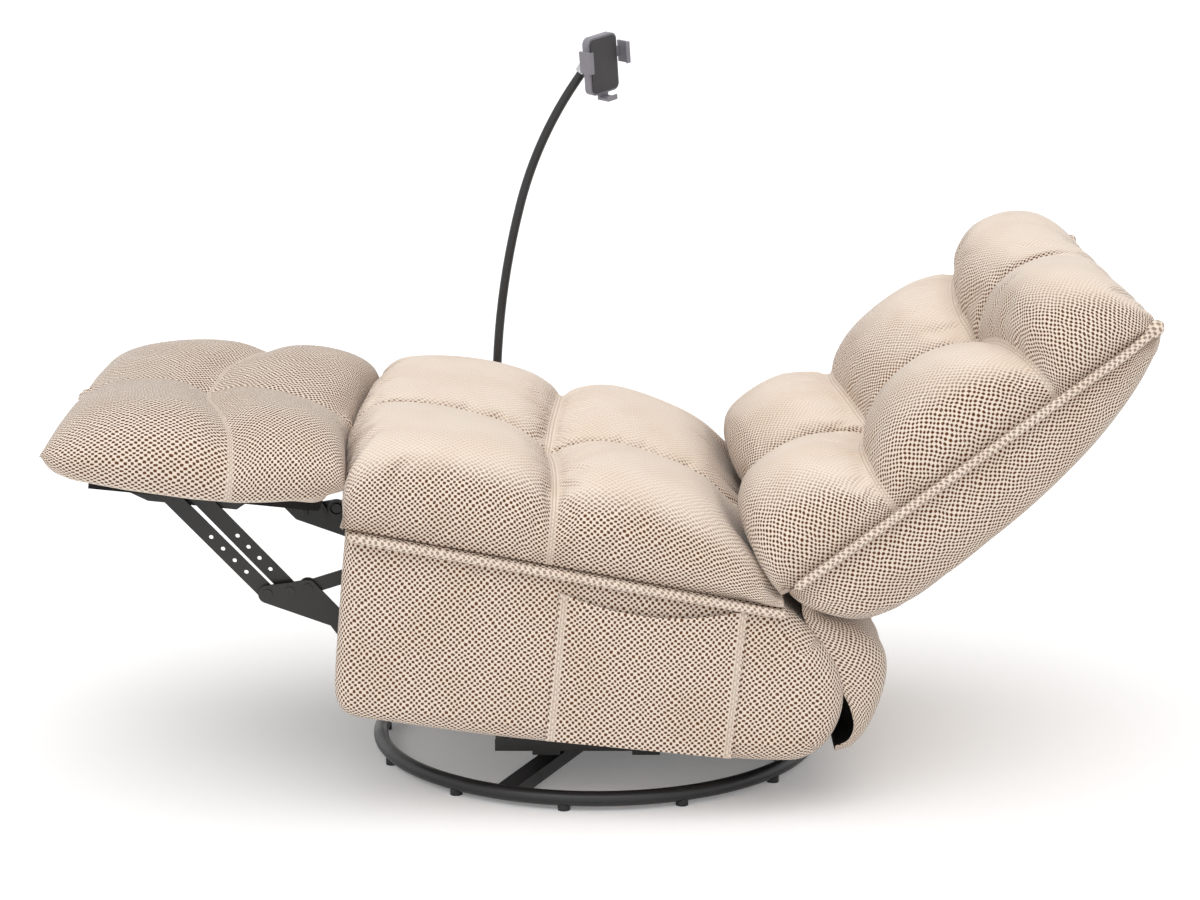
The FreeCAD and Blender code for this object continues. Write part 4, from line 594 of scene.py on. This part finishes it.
seatFront = [(-393, 387), (-397, 415), (-397, 448), (-390, 480), (-372, 496), (-340, 505), (-300, 512),
             (-255, 516), (-205, 515), (-155, 508), (-108, 490)]
seat = {
    **usual,
    "crown": [seatFront,
              [(-108, 490), (-75, 501), (-40, 502), (7, 496), (58, 482), (106, 463), (134, 443), (147, 425),
               (162, 406), (178, 390), (195, 375), (207, 362), (213, 349)]],
    "crease": [[(-393, 387), (-396, 410), (-396, 435), (-390, 458), (-374, 473), (-350, 481), (-318, 484),
                (-283, 482), (-238, 475), (-177, 459), (-108, 433)],
               [(-108, 433), (-71, 440), (-27, 443), (34, 434), (95, 422), (128, 413), (146, 403), (162, 392),
                (176, 382), (192, 370), (205, 359), (213, 349)]],
    "flank": [seatFront,
              [(-108, 490), (-75, 501), (-40, 502), (7, 496), (58, 482), (106, 463), (140, 443), (172, 419),
               (199, 395), (219, 373), (231, 358), (236, 350), (238, 338)]],
    "rowCounts": [58, 64], "acrossCounts": (3, 5, 9, 10, 9, 7, 6, 5, 5, 4), "low": seatLow, "edgeLow": seatLow,
    "seamReach": 46.0, "endReach": 60.0,
    "shoulders": {"near": [(0, 0.0), (13, 0.18), (48, 0.37), (110, 0.64), (190, 0.8), (262, 0.82)],
                  "far": [(0, 0.0), (13, 0.2), (48, 0.4), (110, 0.62), (190, 0.76), (262, 0.73)]},
    "drift": [(0, 0, 4, 0), (110, 2, 8, 0), (200, 8, 13, 0), (300, 16, 17, 0), (390, 21, 19, 0)],
    "sides": [(318, 0.93, 0.5), (360, 0.78, 0.9), (386, 0.5, 1.0), (388, 0.22, 1.0), (376, 0.0, 1.0)]}
seatPad = buildCushion("seatPad", seat)
finishPiece(seatPad, quiltedCloth, "seat_body", ("seat_cushion",))

print("stage: footrest")
footrest = {
    **usual, "skirt": 22, "sideDraw": 7.0, "capMm": 7.0, "seamReach": 40.0, "endReach": 40.0,
    "crown": [[(-797, 437), (-795, 455), (-783, 472), (-760, 487), (-727, 499), (-691, 508), (-650, 514),
               (-615, 514), (-578, 502)],
              [(-578, 502), (-545, 517), (-508, 521), (-471, 519), (-436, 511), (-414, 498), (-402, 478),
               (-399, 452), (-398, 430)]],
    "crease": [[(-797, 437), (-794, 446), (-780, 456), (-742, 473), (-698, 482), (-654, 482), (-625, 476),
                (-600, 464)],
               [(-600, 464), (-570, 478), (-536, 483), (-491, 479), (-453, 470), (-425, 459), (-406, 449),
                (-400, 440), (-398, 430)]],
    # flat over the board, drawn up at the tip and a little behind; its edge hangs past the board in the middle
    "low": heightAt([(-797, 437), (-790, 424), (-770, 412), (-740, 404), (-715, 401.6), (-420, 401.6),
                     (-404, 408), (-398, 430)]),
    "edgeLow": heightAt([(-797, 437), (-794, 425), (-785, 414), (-765, 406), (-704, 399), (-628, 395),
                         (-573, 396), (-519, 402), (-450, 413), (-404, 428), (-398, 432)]),
    "rowCounts": [38, 35], "acrossCounts": (3, 6, 9, 11, 9, 7, 6, 5, 4, 4),
    "shoulders": {"near": [(0, 0.0), (12, 0.16), (44, 0.36), (100, 0.64), (172, 0.8), (236, 0.82)],
                  "far": [(0, 0.0), (12, 0.2), (44, 0.42), (100, 0.7), (172, 0.84), (236, 0.82)]},
    "drift": [(0, 0, -12, 0), (100, 0, -10, 2), (190, 0, 14, 8), (286, 0, 42, 15), (346, 0, 54, 19)],
    "sides": [(286, 0.9, 0.0), (324, 0.72, 0.0), (345, 0.46, 0.0), (346, 0.22, 0.0), (334, 0.0, 0.0)]}
footPad = buildCushion("footrestPad", footrest)
finishPiece(footPad, quiltedCloth, "footrest", ("footrest_cushion",))

print("stage: back")
backBase = heightAt([(0, 0.8), (605, 0.8)])  # the back is laid out on its own flat base
back = {
    **usual, "clothShare": 1.16, "seamShare": {"near": 0.32, "far": 0.15}, "seamReach": 48.0, "endReach": 50.0,
    "crossSeamDepth": 0.007, "longSeamDepth": 0.008, "toWorld": backToWorld,
    "crown": [[(-6, 3), (-16, 22), (-20, 48), (-19, 85), (-9, 122), (10, 140), (36, 147), (86, 148), (134, 138),
               (184, 108)],
              [(184, 108), (212, 126), (250, 137), (300, 142), (345, 140), (397, 122)],
              [(397, 122), (418, 142), (452, 151), (495, 146), (532, 131), (563, 106), (584, 77), (597, 42),
               (605, 4)]],
    "crease": [[(-6, 3), (-12, 25), (-13, 48), (-6, 63), (17, 70), (73, 72), (119, 60), (163, 42), (184, 30)],
               [(184, 30), (215, 42), (257, 49), (312, 51), (362, 47), (397, 38)],
               [(397, 38), (415, 60), (451, 82), (496, 95), (539, 94), (577, 79), (595, 52), (603, 26), (605, 4)]],
    "rowCounts": [46, 33, 46], "acrossCounts": (3, 5, 9, 10, 9, 7, 6, 5, 5, 4), "low": backBase,
    "edgeLow": backBase,
    "shoulders": {"near": [(0, 0.0), (13, 0.13), (48, 0.27), (110, 0.51), (190, 0.73), (262, 0.79)],
                  "far": [(0, 0.0), (13, 0.2), (48, 0.42), (110, 0.72), (190, 0.84), (262, 0.78)]},
    "drift": [(0, 0, 5, -8, 0), (100, 0, 0, 0, 0), (200, 0, -7, 16, 0), (382, 0, -10, 44, 0)],
    "sides": [(318, 0.9, 0.0), (358, 0.72, 0.0), (381, 0.45, 0.0), (382, 0.2, 0.0), (370, 0.0, 0.0)]}
backPad = buildCushion("backPad", back)
finishPiece(backPad, quiltedCloth, "back", ("back_cushion",))

print("stage: outside of the back")
shell = {
    "depth": [(-10, -2), (-8, -40), (8, -84), (35, -112), (70, -126), (120, -130), (180, -129), (257, -124),
              (330, -117), (400, -105), (460, -90), (528, -64), (581, -34), (604, -8), (606, -2)],
    "rows": 86, "acrossCounts": (20, 16, 9, 8), "skirt": 10, "base": -0.8,
    "sides": [(0, 1.0), (200, 0.985), (330, 0.88), (378, 0.5), (372, 0.0)],
    "pressure": 3.0, "looseness": 0.03, "bending": 1.0, "frames": 16, "capMm": 7.0}


def buildShell():
    # the middle's depth run, taken to a share of itself at each place across, and closed flat at the cushion
    run, base = smoothRun(shell["depth"], shell["rows"]), shell["base"]
    rails = {"top": np.array([pointGrid(run[:, 0], y, base + (run[:, 1] - base) * share)
                              for y, share in shell["sides"]]),
             "underMiddle": pointGrid(run[:, 0], 0.0, base)}
    grid, steps = cushionGrid(rails, rails, shell["acrossCounts"], shell["skirt"])
    piece = makeMesh("backShell", backToWorld(grid), cushionFaces(len(run), steps))
    row, folded = loopPlaces(*grid.shape[:2])
    inflate(piece, (folded >= steps - 1) | (row < 2) | (row > len(run) - 3), shell)
    setField(piece, "clothPlace", clothFields(grid, steps, (0,))[0].reshape(-1, 3) / 1000)
    subdivide(piece)
    return piece


shellPad = buildShell()
finishPiece(shellPad, plainCloth, "back", ("outer_back",))

print("stage: side covers")
cover = {
    # the sides of the outline, from the front top: down the front, along the bottom, up the rear bulge
    "front": [(-371, 384), (-371, 330), (-370, 250), (-368, 170), (-365, 142), (-356, 124)],
    "bottom": [(-356, 124), (-342, 116), (-300, 113), (-150, 107), (0, 106), (150, 107), (250, 109), (286, 113),
               (306, 124)],
    "rear": [(306, 124), (322, 142), (335, 174), (338, 205), (329, 242), (306, 277), (273, 309), (239, 335)],
    "frontCount": 52, "bottomCount": 110, "innerY": 250.0, "outerY": 376.0, "frontRound": 22.0,
    "rearRound": 34.0, "rearFromX": 150.0, "rearOver": 150.0, "topRound": 8.0, "roundBlend": 4,
    "tangentPasses": 4, "puffMm": 6.0, "puffFromX": -371.0, "puffLength": 690.0, "puffFromZ": 108.0,
    "wallSteps": 14, "roundSteps": 8, "lipMm": 9.0, "lipDeep": 6.0, "wrapSlope": 0.7}


def coverFace(x, z):  # how far out the soft face stands: puff x root of sin x sin, flat at its edges
    a = np.clip((x - cover["puffFromX"]) / cover["puffLength"], 0, 1)
    b = np.clip((z - cover["puffFromZ"]) / (seatLow(x) - cover["puffFromZ"]), 0, 1)
    return cover["outerY"] + cover["puffMm"] * np.sqrt(np.sin(math.pi * a) * np.sin(math.pi * b))


def coverOutline():  # the closed outline, its inward normals and the edge's round, larger at the rear
    runs = [smoothRun(cover[key], cover[count] + 1)[:-1]
            for key, count in (("front", "frontCount"), ("bottom", "bottomCount"), ("rear", "frontCount"))]
    share = np.arange(cover["bottomCount"])[:, None] / cover["bottomCount"]
    top = np.array(cover["rear"][-1]) * (1 - share) + np.array(cover["front"][0]) * share
    loop = np.vstack(runs + [top])
    tangent = np.roll(loop, -1, axis=0) - np.roll(loop, 1, axis=0)
    for _ in range(cover["tangentPasses"]):
        tangent = (np.roll(tangent, -1, axis=0) + 2 * tangent + np.roll(tangent, 1, axis=0)) / 4
    tangent /= np.linalg.norm(tangent, axis=1)[:, None]
    rear = np.clip((loop[:, 0] - cover["rearFromX"]) / cover["rearOver"], 0, 1) ** 2
    radius = cover["frontRound"] + (cover["rearRound"] - cover["frontRound"]) * rear
    radius[-cover["bottomCount"]:] = cover["topRound"]
    reach = cover["roundBlend"]
    window = np.full(2 * reach + 1, 1 / (2 * reach + 1))
    radius = np.convolve(np.concatenate([radius[-reach:], radius, radius[:reach]]), window, "valid")
    return loop, pointGrid(-tangent[:, 1], tangent[:, 0]), radius


def patchInside(ring):
    # a grid stretched between the ring's four sides: the two blends of opposite sides less that of the corners
    n, m = cover["frontCount"], cover["bottomCount"]
    side = [ring[:n + 1], ring[n:n + m + 1], ring[n + m:2 * n + m + 1], np.vstack([ring[2 * n + m:], ring[:1]])]
    front, bottom, rear, top = side[0][:, None], side[1][None], side[2][::-1][:, None], side[3][::-1][None]
    v = np.linspace(0, 1, n + 1)[:, None, None]
    u = np.linspace(0, 1, m + 1)[None, :, None]
    corners = ((1 - u) * (1 - v) * front[0, 0] + (1 - u) * v * front[-1, 0] + u * (1 - v) * rear[0, 0]
               + u * v * rear[-1, 0])
    return (front * (1 - u) + rear * u + top * (1 - v) + bottom * v - corners)[1:-1, 1:-1]


def patchFaces(first, inner):  # faces of that grid from the ring's first vertex and the inside's first vertex
    n, m = cover["frontCount"], cover["bottomCount"]
    number = np.zeros((n + 1, m + 1), int)
    number[1:-1, 1:-1] = inner + np.arange((n - 1) * (m - 1)).reshape(n - 1, m - 1)
    number[:, 0] = first + np.arange(n + 1)
    number[-1] = first + n + np.arange(m + 1)
    number[::-1, -1] = first + n + m + np.arange(n + 1)
    number[0, ::-1] = first + (2 * n + m + np.arange(m + 1)) % (2 * n + 2 * m)
    return pointGrid(number[:-1, :-1], number[1:, :-1], number[1:, 1:], number[:-1, 1:]).reshape(-1, 4).tolist()


def buildSideCover(name, side, node):
    # the outline carried out from a folded-in lip, turned over a quarter round and closed by a pillowed face
    loop, inward, radius = coverOutline()
    around, inner, outer = len(loop), cover["innerY"], cover["outerY"]
    lip = loop + inward * cover["lipMm"]
    rings = [pointGrid(lip[:, 0], inner + y, lip[:, 1]) for y in (cover["lipDeep"], 0.0)]
    for share in np.linspace(0, 1, cover["wallSteps"]):
        rings.append(pointGrid(loop[:, 0], inner + (outer - radius - inner) * share, loop[:, 1]))
    for turn in np.linspace(0, math.pi / 2, cover["roundSteps"] + 1)[1:]:
        edge = loop + inward * (radius * (1 - math.cos(turn)))[:, None]
        rings.append(pointGrid(edge[:, 0], outer - radius * (1 - math.sin(turn)), edge[:, 1]))
    rings = np.array(rings)
    face, back = patchInside(rings[-1][:, [0, 2]]), patchInside(rings[0][:, [0, 2]])
    face = pointGrid(face[..., 0], coverFace(face[..., 0], face[..., 1]), face[..., 1]).reshape(-1, 3)
    back = pointGrid(back[..., 0], rings[0, 0, 1], back[..., 1]).reshape(-1, 3)
    points = np.concatenate([rings.reshape(-1, 3), face, back])
    faces = gridFaces(len(rings), around, loopColumns=True)
    faces += patchFaces((len(rings) - 1) * around, len(rings) * around)
    faces += patchFaces(0, len(rings) * around + len(face))
    piece = makeMesh(name, levelToWorld(points * np.array([1.0, side, 1.0])), faces)
    # on the face the cloth lies straight in X and Z; round the front and rear it goes on from there
    wrap = np.clip(outer - rings[..., 1], 0, None)
    rearward = np.sign(inward[:, 0]) * (np.abs(inward[:, 0]) > cover["wrapSlope"])
    downward = np.sign(inward[:, 1]) * (np.abs(inward[:, 1]) >= cover["wrapSlope"])
    place = points[:, [0, 2, 1]] * np.array([1.0, 1.0, 0.0])
    place[:len(rings) * around, 0] -= (wrap * rearward[None]).ravel()
    place[:len(rings) * around, 1] -= (wrap * downward[None]).ravel()
    setField(piece, "clothPlace", place / 1000)
    subdivide(piece)
    finishPiece(piece, plainCloth, "seat_body", (node,))


buildSideCover("sideCoverLeft", -1, "side_cover_left")
buildSideCover("sideCoverRight", 1, "side_cover_right")

print("stage: pockets")
pocket = {"leftX": -71.0, "rightX": 190.0, "lowZ": 113.0, "mouthZ": 330.0, "sagMm": 22.0, "sagPower": 0.8,
          "bulgeMm": 8.0, "bulgePower": 0.7, "bulgeRise": 2.2, "bulgeRisePower": 0.8, "bulgeLeast": 0.45,
          "clothMm": 1.8, "leanMm": 2.0, "ridgeMm": 1.8, "ridges": [(4.0, 2.0), (11.0, 2.2)], "hemMm": 2.0,
          "hemAt": 5.0, "hemWide": 4.0, "clearMm": 0.5, "bandMm": 7.5, "clothShift": (0.002, 0.001, 0.0),
          "edgeSteps": np.linspace(0, 0.066, 11), "middleSteps": np.linspace(0.075, 0.925, 44),
          "lowSteps": np.linspace(0, 0.9, 36), "mouthSteps": np.linspace(0.91, 1.0, 14)}


def buildPocket(name, side):
    # a patch whose edges lie on the cover and whose middle stands out; its mouth hangs in a shallow curve,
    # with a rolled hem there and a pair of stitched ridges down each side
    a = np.concatenate([pocket["edgeSteps"], pocket["middleSteps"], 1 - pocket["edgeSteps"][::-1]])[None, :]
    b = np.concatenate([pocket["lowSteps"], pocket["mouthSteps"]])[:, None]
    width, tall = pocket["rightX"] - pocket["leftX"], pocket["mouthZ"] - pocket["lowZ"]
    x = pocket["leftX"] + width * a + pocket["leanMm"] * (1 - b) * (1 - a)
    mouth = pocket["mouthZ"] - pocket["sagMm"] * np.sin(math.pi * a) ** pocket["sagPower"]
    z = pocket["lowZ"] + (mouth - pocket["lowZ"]) * b
    rise = np.minimum(1.0, pocket["bulgeRise"] * b) ** pocket["bulgeRisePower"]
    bulge = np.sin(math.pi * a) ** pocket["bulgePower"] * rise * (
        pocket["bulgeLeast"] + (1 - pocket["bulgeLeast"]) * b)
    sideMm = np.minimum(a, 1 - a) * width
    ridges = sum(pocket["ridgeMm"] * np.exp(-((sideMm - at) / wide) ** 2) for at, wide in pocket["ridges"])
    hemMm = (1 - b) * (mouth - pocket["lowZ"])
    hem = pocket["hemMm"] * np.exp(-((hemMm - pocket["hemAt"]) / pocket["hemWide"]) ** 2)
    y = coverFace(x, z) + pocket["clearMm"] + pocket["bulgeMm"] * bulge
    outer = pointGrid(x, y + pocket["clothMm"] + ridges + hem, z)
    piece, points = makeSheet(name, outer, pointGrid(x, y, z), side)
    setField(piece, "clothPlace", pointGrid(points[:, 0], points[:, 2], 0.0) / 1000 + pocket["clothShift"])
    band = np.ones((2,) + outer.shape)
    band[..., 0] = (sideMm - pocket["bandMm"]) / 1000
    setField(piece, "seamGap", band)
    subdivide(piece)
    finishPiece(piece, quiltedCloth, "seat_body")
    return piece


pocketRight = buildPocket("sidePocketRight", 1)
pocketLeft = buildPocket("sidePocketLeft", -1)
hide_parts("side_pockets")

print("stage: rear flap")
flap = {
    # the hem follows the rear of the side box and the full part hangs behind it; both in level X and Z, top first
    "hem": [(266, 350), (265, 329), (278, 300), (299, 268), (319, 240), (336, 214), (350, 190), (357, 165),
            (351, 146), (334, 136)],
    "full": [(284, 333), (300, 319), (324, 311), (346, 301), (371, 285), (392, 261), (399, 235), (396, 198),
             (384, 160), (364, 133), (338, 119)],
    "halfY": 351.0, "turnY": 58.0, "sideShare": 0.97, "clothMm": 4.0, "rows": 66, "columns": 121,
    "waveMm": 2.5, "waves": [(1.0, 41.0, 2.0), (0.6, 17.0, -3.1)],
    "blendFrom": (352.0, 0.0, 255.0), "blendTo": (284.0, 0.0, 318.0)}


def buildFlap():
    # across the chair the section swells from the hem's line to the full line as a quarter ellipse, with waves
    rows, columns = flap["rows"], flap["columns"]
    hem, full = smoothRun(flap["hem"], rows), smoothRun(flap["full"], rows)
    reach = math.pi / 2 * flap["sideShare"]
    y = flap["halfY"] * (np.sin(np.linspace(-reach, reach, columns)) / math.sin(reach))
    inset = np.clip((flap["halfY"] - np.abs(y)) / flap["turnY"], 0, 1)
    swell = np.sqrt(1 - (1 - inset) ** 2)[None, :]
    down = np.linspace(0, 1, rows)[:, None]
    x = hem[:, :1] * (1 - swell) + full[:, :1] * swell
    z = hem[:, 1:] * (1 - swell) + full[:, 1:] * swell
    wave = flap["waveMm"] * np.sin(math.pi * down) * swell * sum(
        size * np.sin(y[None, :] / long + slant * down) for size, long, slant in flap["waves"])
    outer = pointGrid(x + wave, y[None, :], z)
    normal = gridNormals(outer)
    normal *= np.sign(normal[rows // 2, columns // 2, 0])
    piece, points = makeSheet("rearFlap", outer, outer - normal * flap["clothMm"])
    acrossLength, downLength = lengthAlong(outer[rows // 2]) / 1000, lengthAlong(full) / 1000
    place = pointGrid(acrossLength[None, :], downLength[:, None], 0.0)
    setField(piece, "clothPlace", np.stack([place, place]))
    subdivide(piece)
    finishPiece(piece, plainCloth, None, ("rear_flap",))
    # the inner skin is the black dust cover
    piece.data.materials.append(finish["blackNonWovenCover"])
    corner = np.empty(len(piece.data.loops), np.int32)
    piece.data.loops.foreach_get("vertex_index", corner)
    piece.data.polygons.foreach_set("material_index", (corner[::4] >= rows * columns).astype(np.int32))
    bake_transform(piece)


buildFlap()

print("stage: welts")
welt = {"radius": 0.0062, "around": 18, "rowsAround": 4, "stepM": 0.003, "slantM": 0.016, "closed": 0.4,
        "endMm": 9.0, "endLeast": 0.02, "earRadius": 0.0115, "earMm": 26.0, "earPower": 0.6, "points": 12,
        "seatY": 386.0, "seatDrop": 7.0, "seatFromX": -366.0, "seatToX": 243.0,
        "backY": 382.5, "backLength": 613.0, "backLiftFrom": 585.0, "backLift": 0.25}


def buildWelt(name, points, body, node=None, ear=False):
    # piping: the same cloth cut on the slant round a cord, rounded off at its ends; an ear swells at the far end
    path = smoothRun(points, int(lengthAlong(points)[-1] / welt["stepM"]) + 2)
    length = np.linspace(0, lengthAlong(path)[-1], len(path))
    leftMm = (length[-1] - length) * 1000
    radius = np.full(len(path), welt["radius"])
    if ear:
        swell = np.clip(1 - np.abs(leftMm / welt["earMm"] - 0.5) * 2, 0, 1)
        radius += (welt["earRadius"] - welt["radius"]) * swell ** welt["earPower"]
    ends = np.clip(np.minimum(leftMm, length * 1000) / welt["endMm"] + welt["endLeast"], 0, 1)
    radius *= np.sqrt(1 - (1 - ends) ** 2)
    piece = tubePiece(name, path, radius, welt["around"])
    turn = np.linspace(0, 1, welt["around"], endpoint=False)[None, :]
    setField(piece, "clothPlace", pointGrid(length[:, None] + welt["slantM"] * np.abs(turn - 0.5),
                                            turn * welt["rowsAround"] * 2 * meshCloth["rowMm"] / 1000, welt["closed"]))
    finishPiece(piece, plainCloth, body, (node,) if node else ())


for side, tag in ((-1, "Left"), (1, "Right")):
    x = np.linspace(welt["seatFromX"], welt["seatToX"], welt["points"])
    line = settle(x, side * welt["seatY"], weltLine(x) - welt["seatDrop"])
    buildWelt("seatWelt" + tag, line, "seat_body", "seat_welts" if side > 0 else None)
    u = np.linspace(0.0, welt["backLength"], welt["points"])
    lift = np.clip(u - welt["backLiftFrom"], 0, None) * welt["backLift"]
    line = backToWorld(pointGrid(u, side * welt["backY"], lift))
    buildWelt("backWelt" + tag, line, "back", "back_welts" if side > 0 else None, ear=True)

print("stage: base ring")
ring = {"radius": 0.325, "tubeRadius": 0.011, "height": 0.017, "around": 240, "section": 28}
turn = np.linspace(0, 2 * math.pi, ring["around"], endpoint=False)[:, None]
tube = np.linspace(0, 2 * math.pi, ring["section"], endpoint=False)[None, :]
reach = ring["radius"] + ring["tubeRadius"] * np.cos(tube)  # a circle carried round a circle
ringPoints = pointGrid(reach * np.cos(turn), reach * np.sin(turn), ring["height"] + ring["tubeRadius"] * np.sin(tube))
baseRing = makeMesh("baseRing", ringPoints, gridFaces(ring["around"], ring["section"], True, True))
finishPiece(baseRing, finish["powderCoatedSteel"], "base", ("base_ring",))

print("stage: floor, light and camera")
stage = {"floorHalf": 40.0, "floorColour": "#FBFBFB", "floorGlow": 0.15, "skyStrength": 0.62, "sunAngleDeg": 80.0,
         "suns": {"softKey": (1.35, (16.0, -8.0, 0.0)), "softFill": (0.45, (60.0, -10.0, 0.0))}}
half = stage["floorHalf"]
floorPoints = np.array([[-half, -half, 0.0], [half, -half, 0.0], [half, half, 0.0], [-half, half, 0.0]])
floor = makeMesh("studioFloor", floorPoints, [[0, 1, 2, 3]], outward=False)


def seenDirectly(tree):  # 1 for what the camera, a gloss or a glass looks at, so the background shows white there
    rays = addNode(tree, "LightPath").outputs
    shiny = addNode(tree, "Math", {0: rays["Is Glossy Ray"], 1: rays["Is Transmission Ray"]}, operation="MAXIMUM")
    return addNode(tree, "Math", {0: rays["Is Camera Ray"], 1: shiny}, operation="MAXIMUM")


material, tree, shader = newMaterial("paintedFloor")  # matt white paint: it takes a soft shadow and no shine
tree.nodes.remove(shader)
glow = addNode(tree, "Math", {0: seenDirectly(tree), 1: stage["floorGlow"]}, operation="MULTIPLY")
paint = addNode(tree, "BsdfDiffuse", {"Color": hexLinear(stage["floorColour"])})
both = addNode(tree, "AddShader", {0: paint, 1: addNode(tree, "Emission", {"Strength": glow})})
tree.links.new(both.outputs[0], tree.nodes["Material Output"].inputs["Surface"])
floor.data.materials.append(material)

world = bpy.data.worlds.new("studioSky")
world.use_nodes = True
bpy.context.scene.world = world
background = world.node_tree.nodes["Background"]
background.inputs["Color"].default_value = (1.0, 1.0, 1.0, 1.0)
strength = addNode(world.node_tree, "Math", {0: seenDirectly(world.node_tree), 1: 1.0 - stage["skyStrength"],
                                             2: stage["skyStrength"]}, operation="MULTIPLY_ADD")
world.node_tree.links.new(strength.outputs[0], background.inputs["Strength"])

for name, (strength, turnDeg) in stage["suns"].items():
    lamp = bpy.data.lights.new(name, "SUN")
    lamp.energy = strength
    lamp.angle = math.radians(stage["sunAngleDeg"])
    sun = bpy.data.objects.new(name, lamp)
    sun.rotation_euler = [math.radians(value) for value in turnDeg]
    bpy.context.scene.collection.objects.link(sun)

view = {"lens": 90.0, "sensor": 36.0, "place": (0.0056, -4.3417, 1.4261), "downDeg": 12.7}
lens = bpy.data.cameras.new("photoCamera")
lens.lens = view["lens"]
lens.sensor_width = view["sensor"]
camera = bpy.data.objects.new("photoCamera", lens)
camera.location = view["place"]
camera.rotation_euler = (math.radians(90 - view["downDeg"]), 0, 0)
bpy.context.scene.collection.objects.link(camera)
bpy.context.scene.camera = camera

bpy.context.scene.view_settings.view_transform = "Standard"
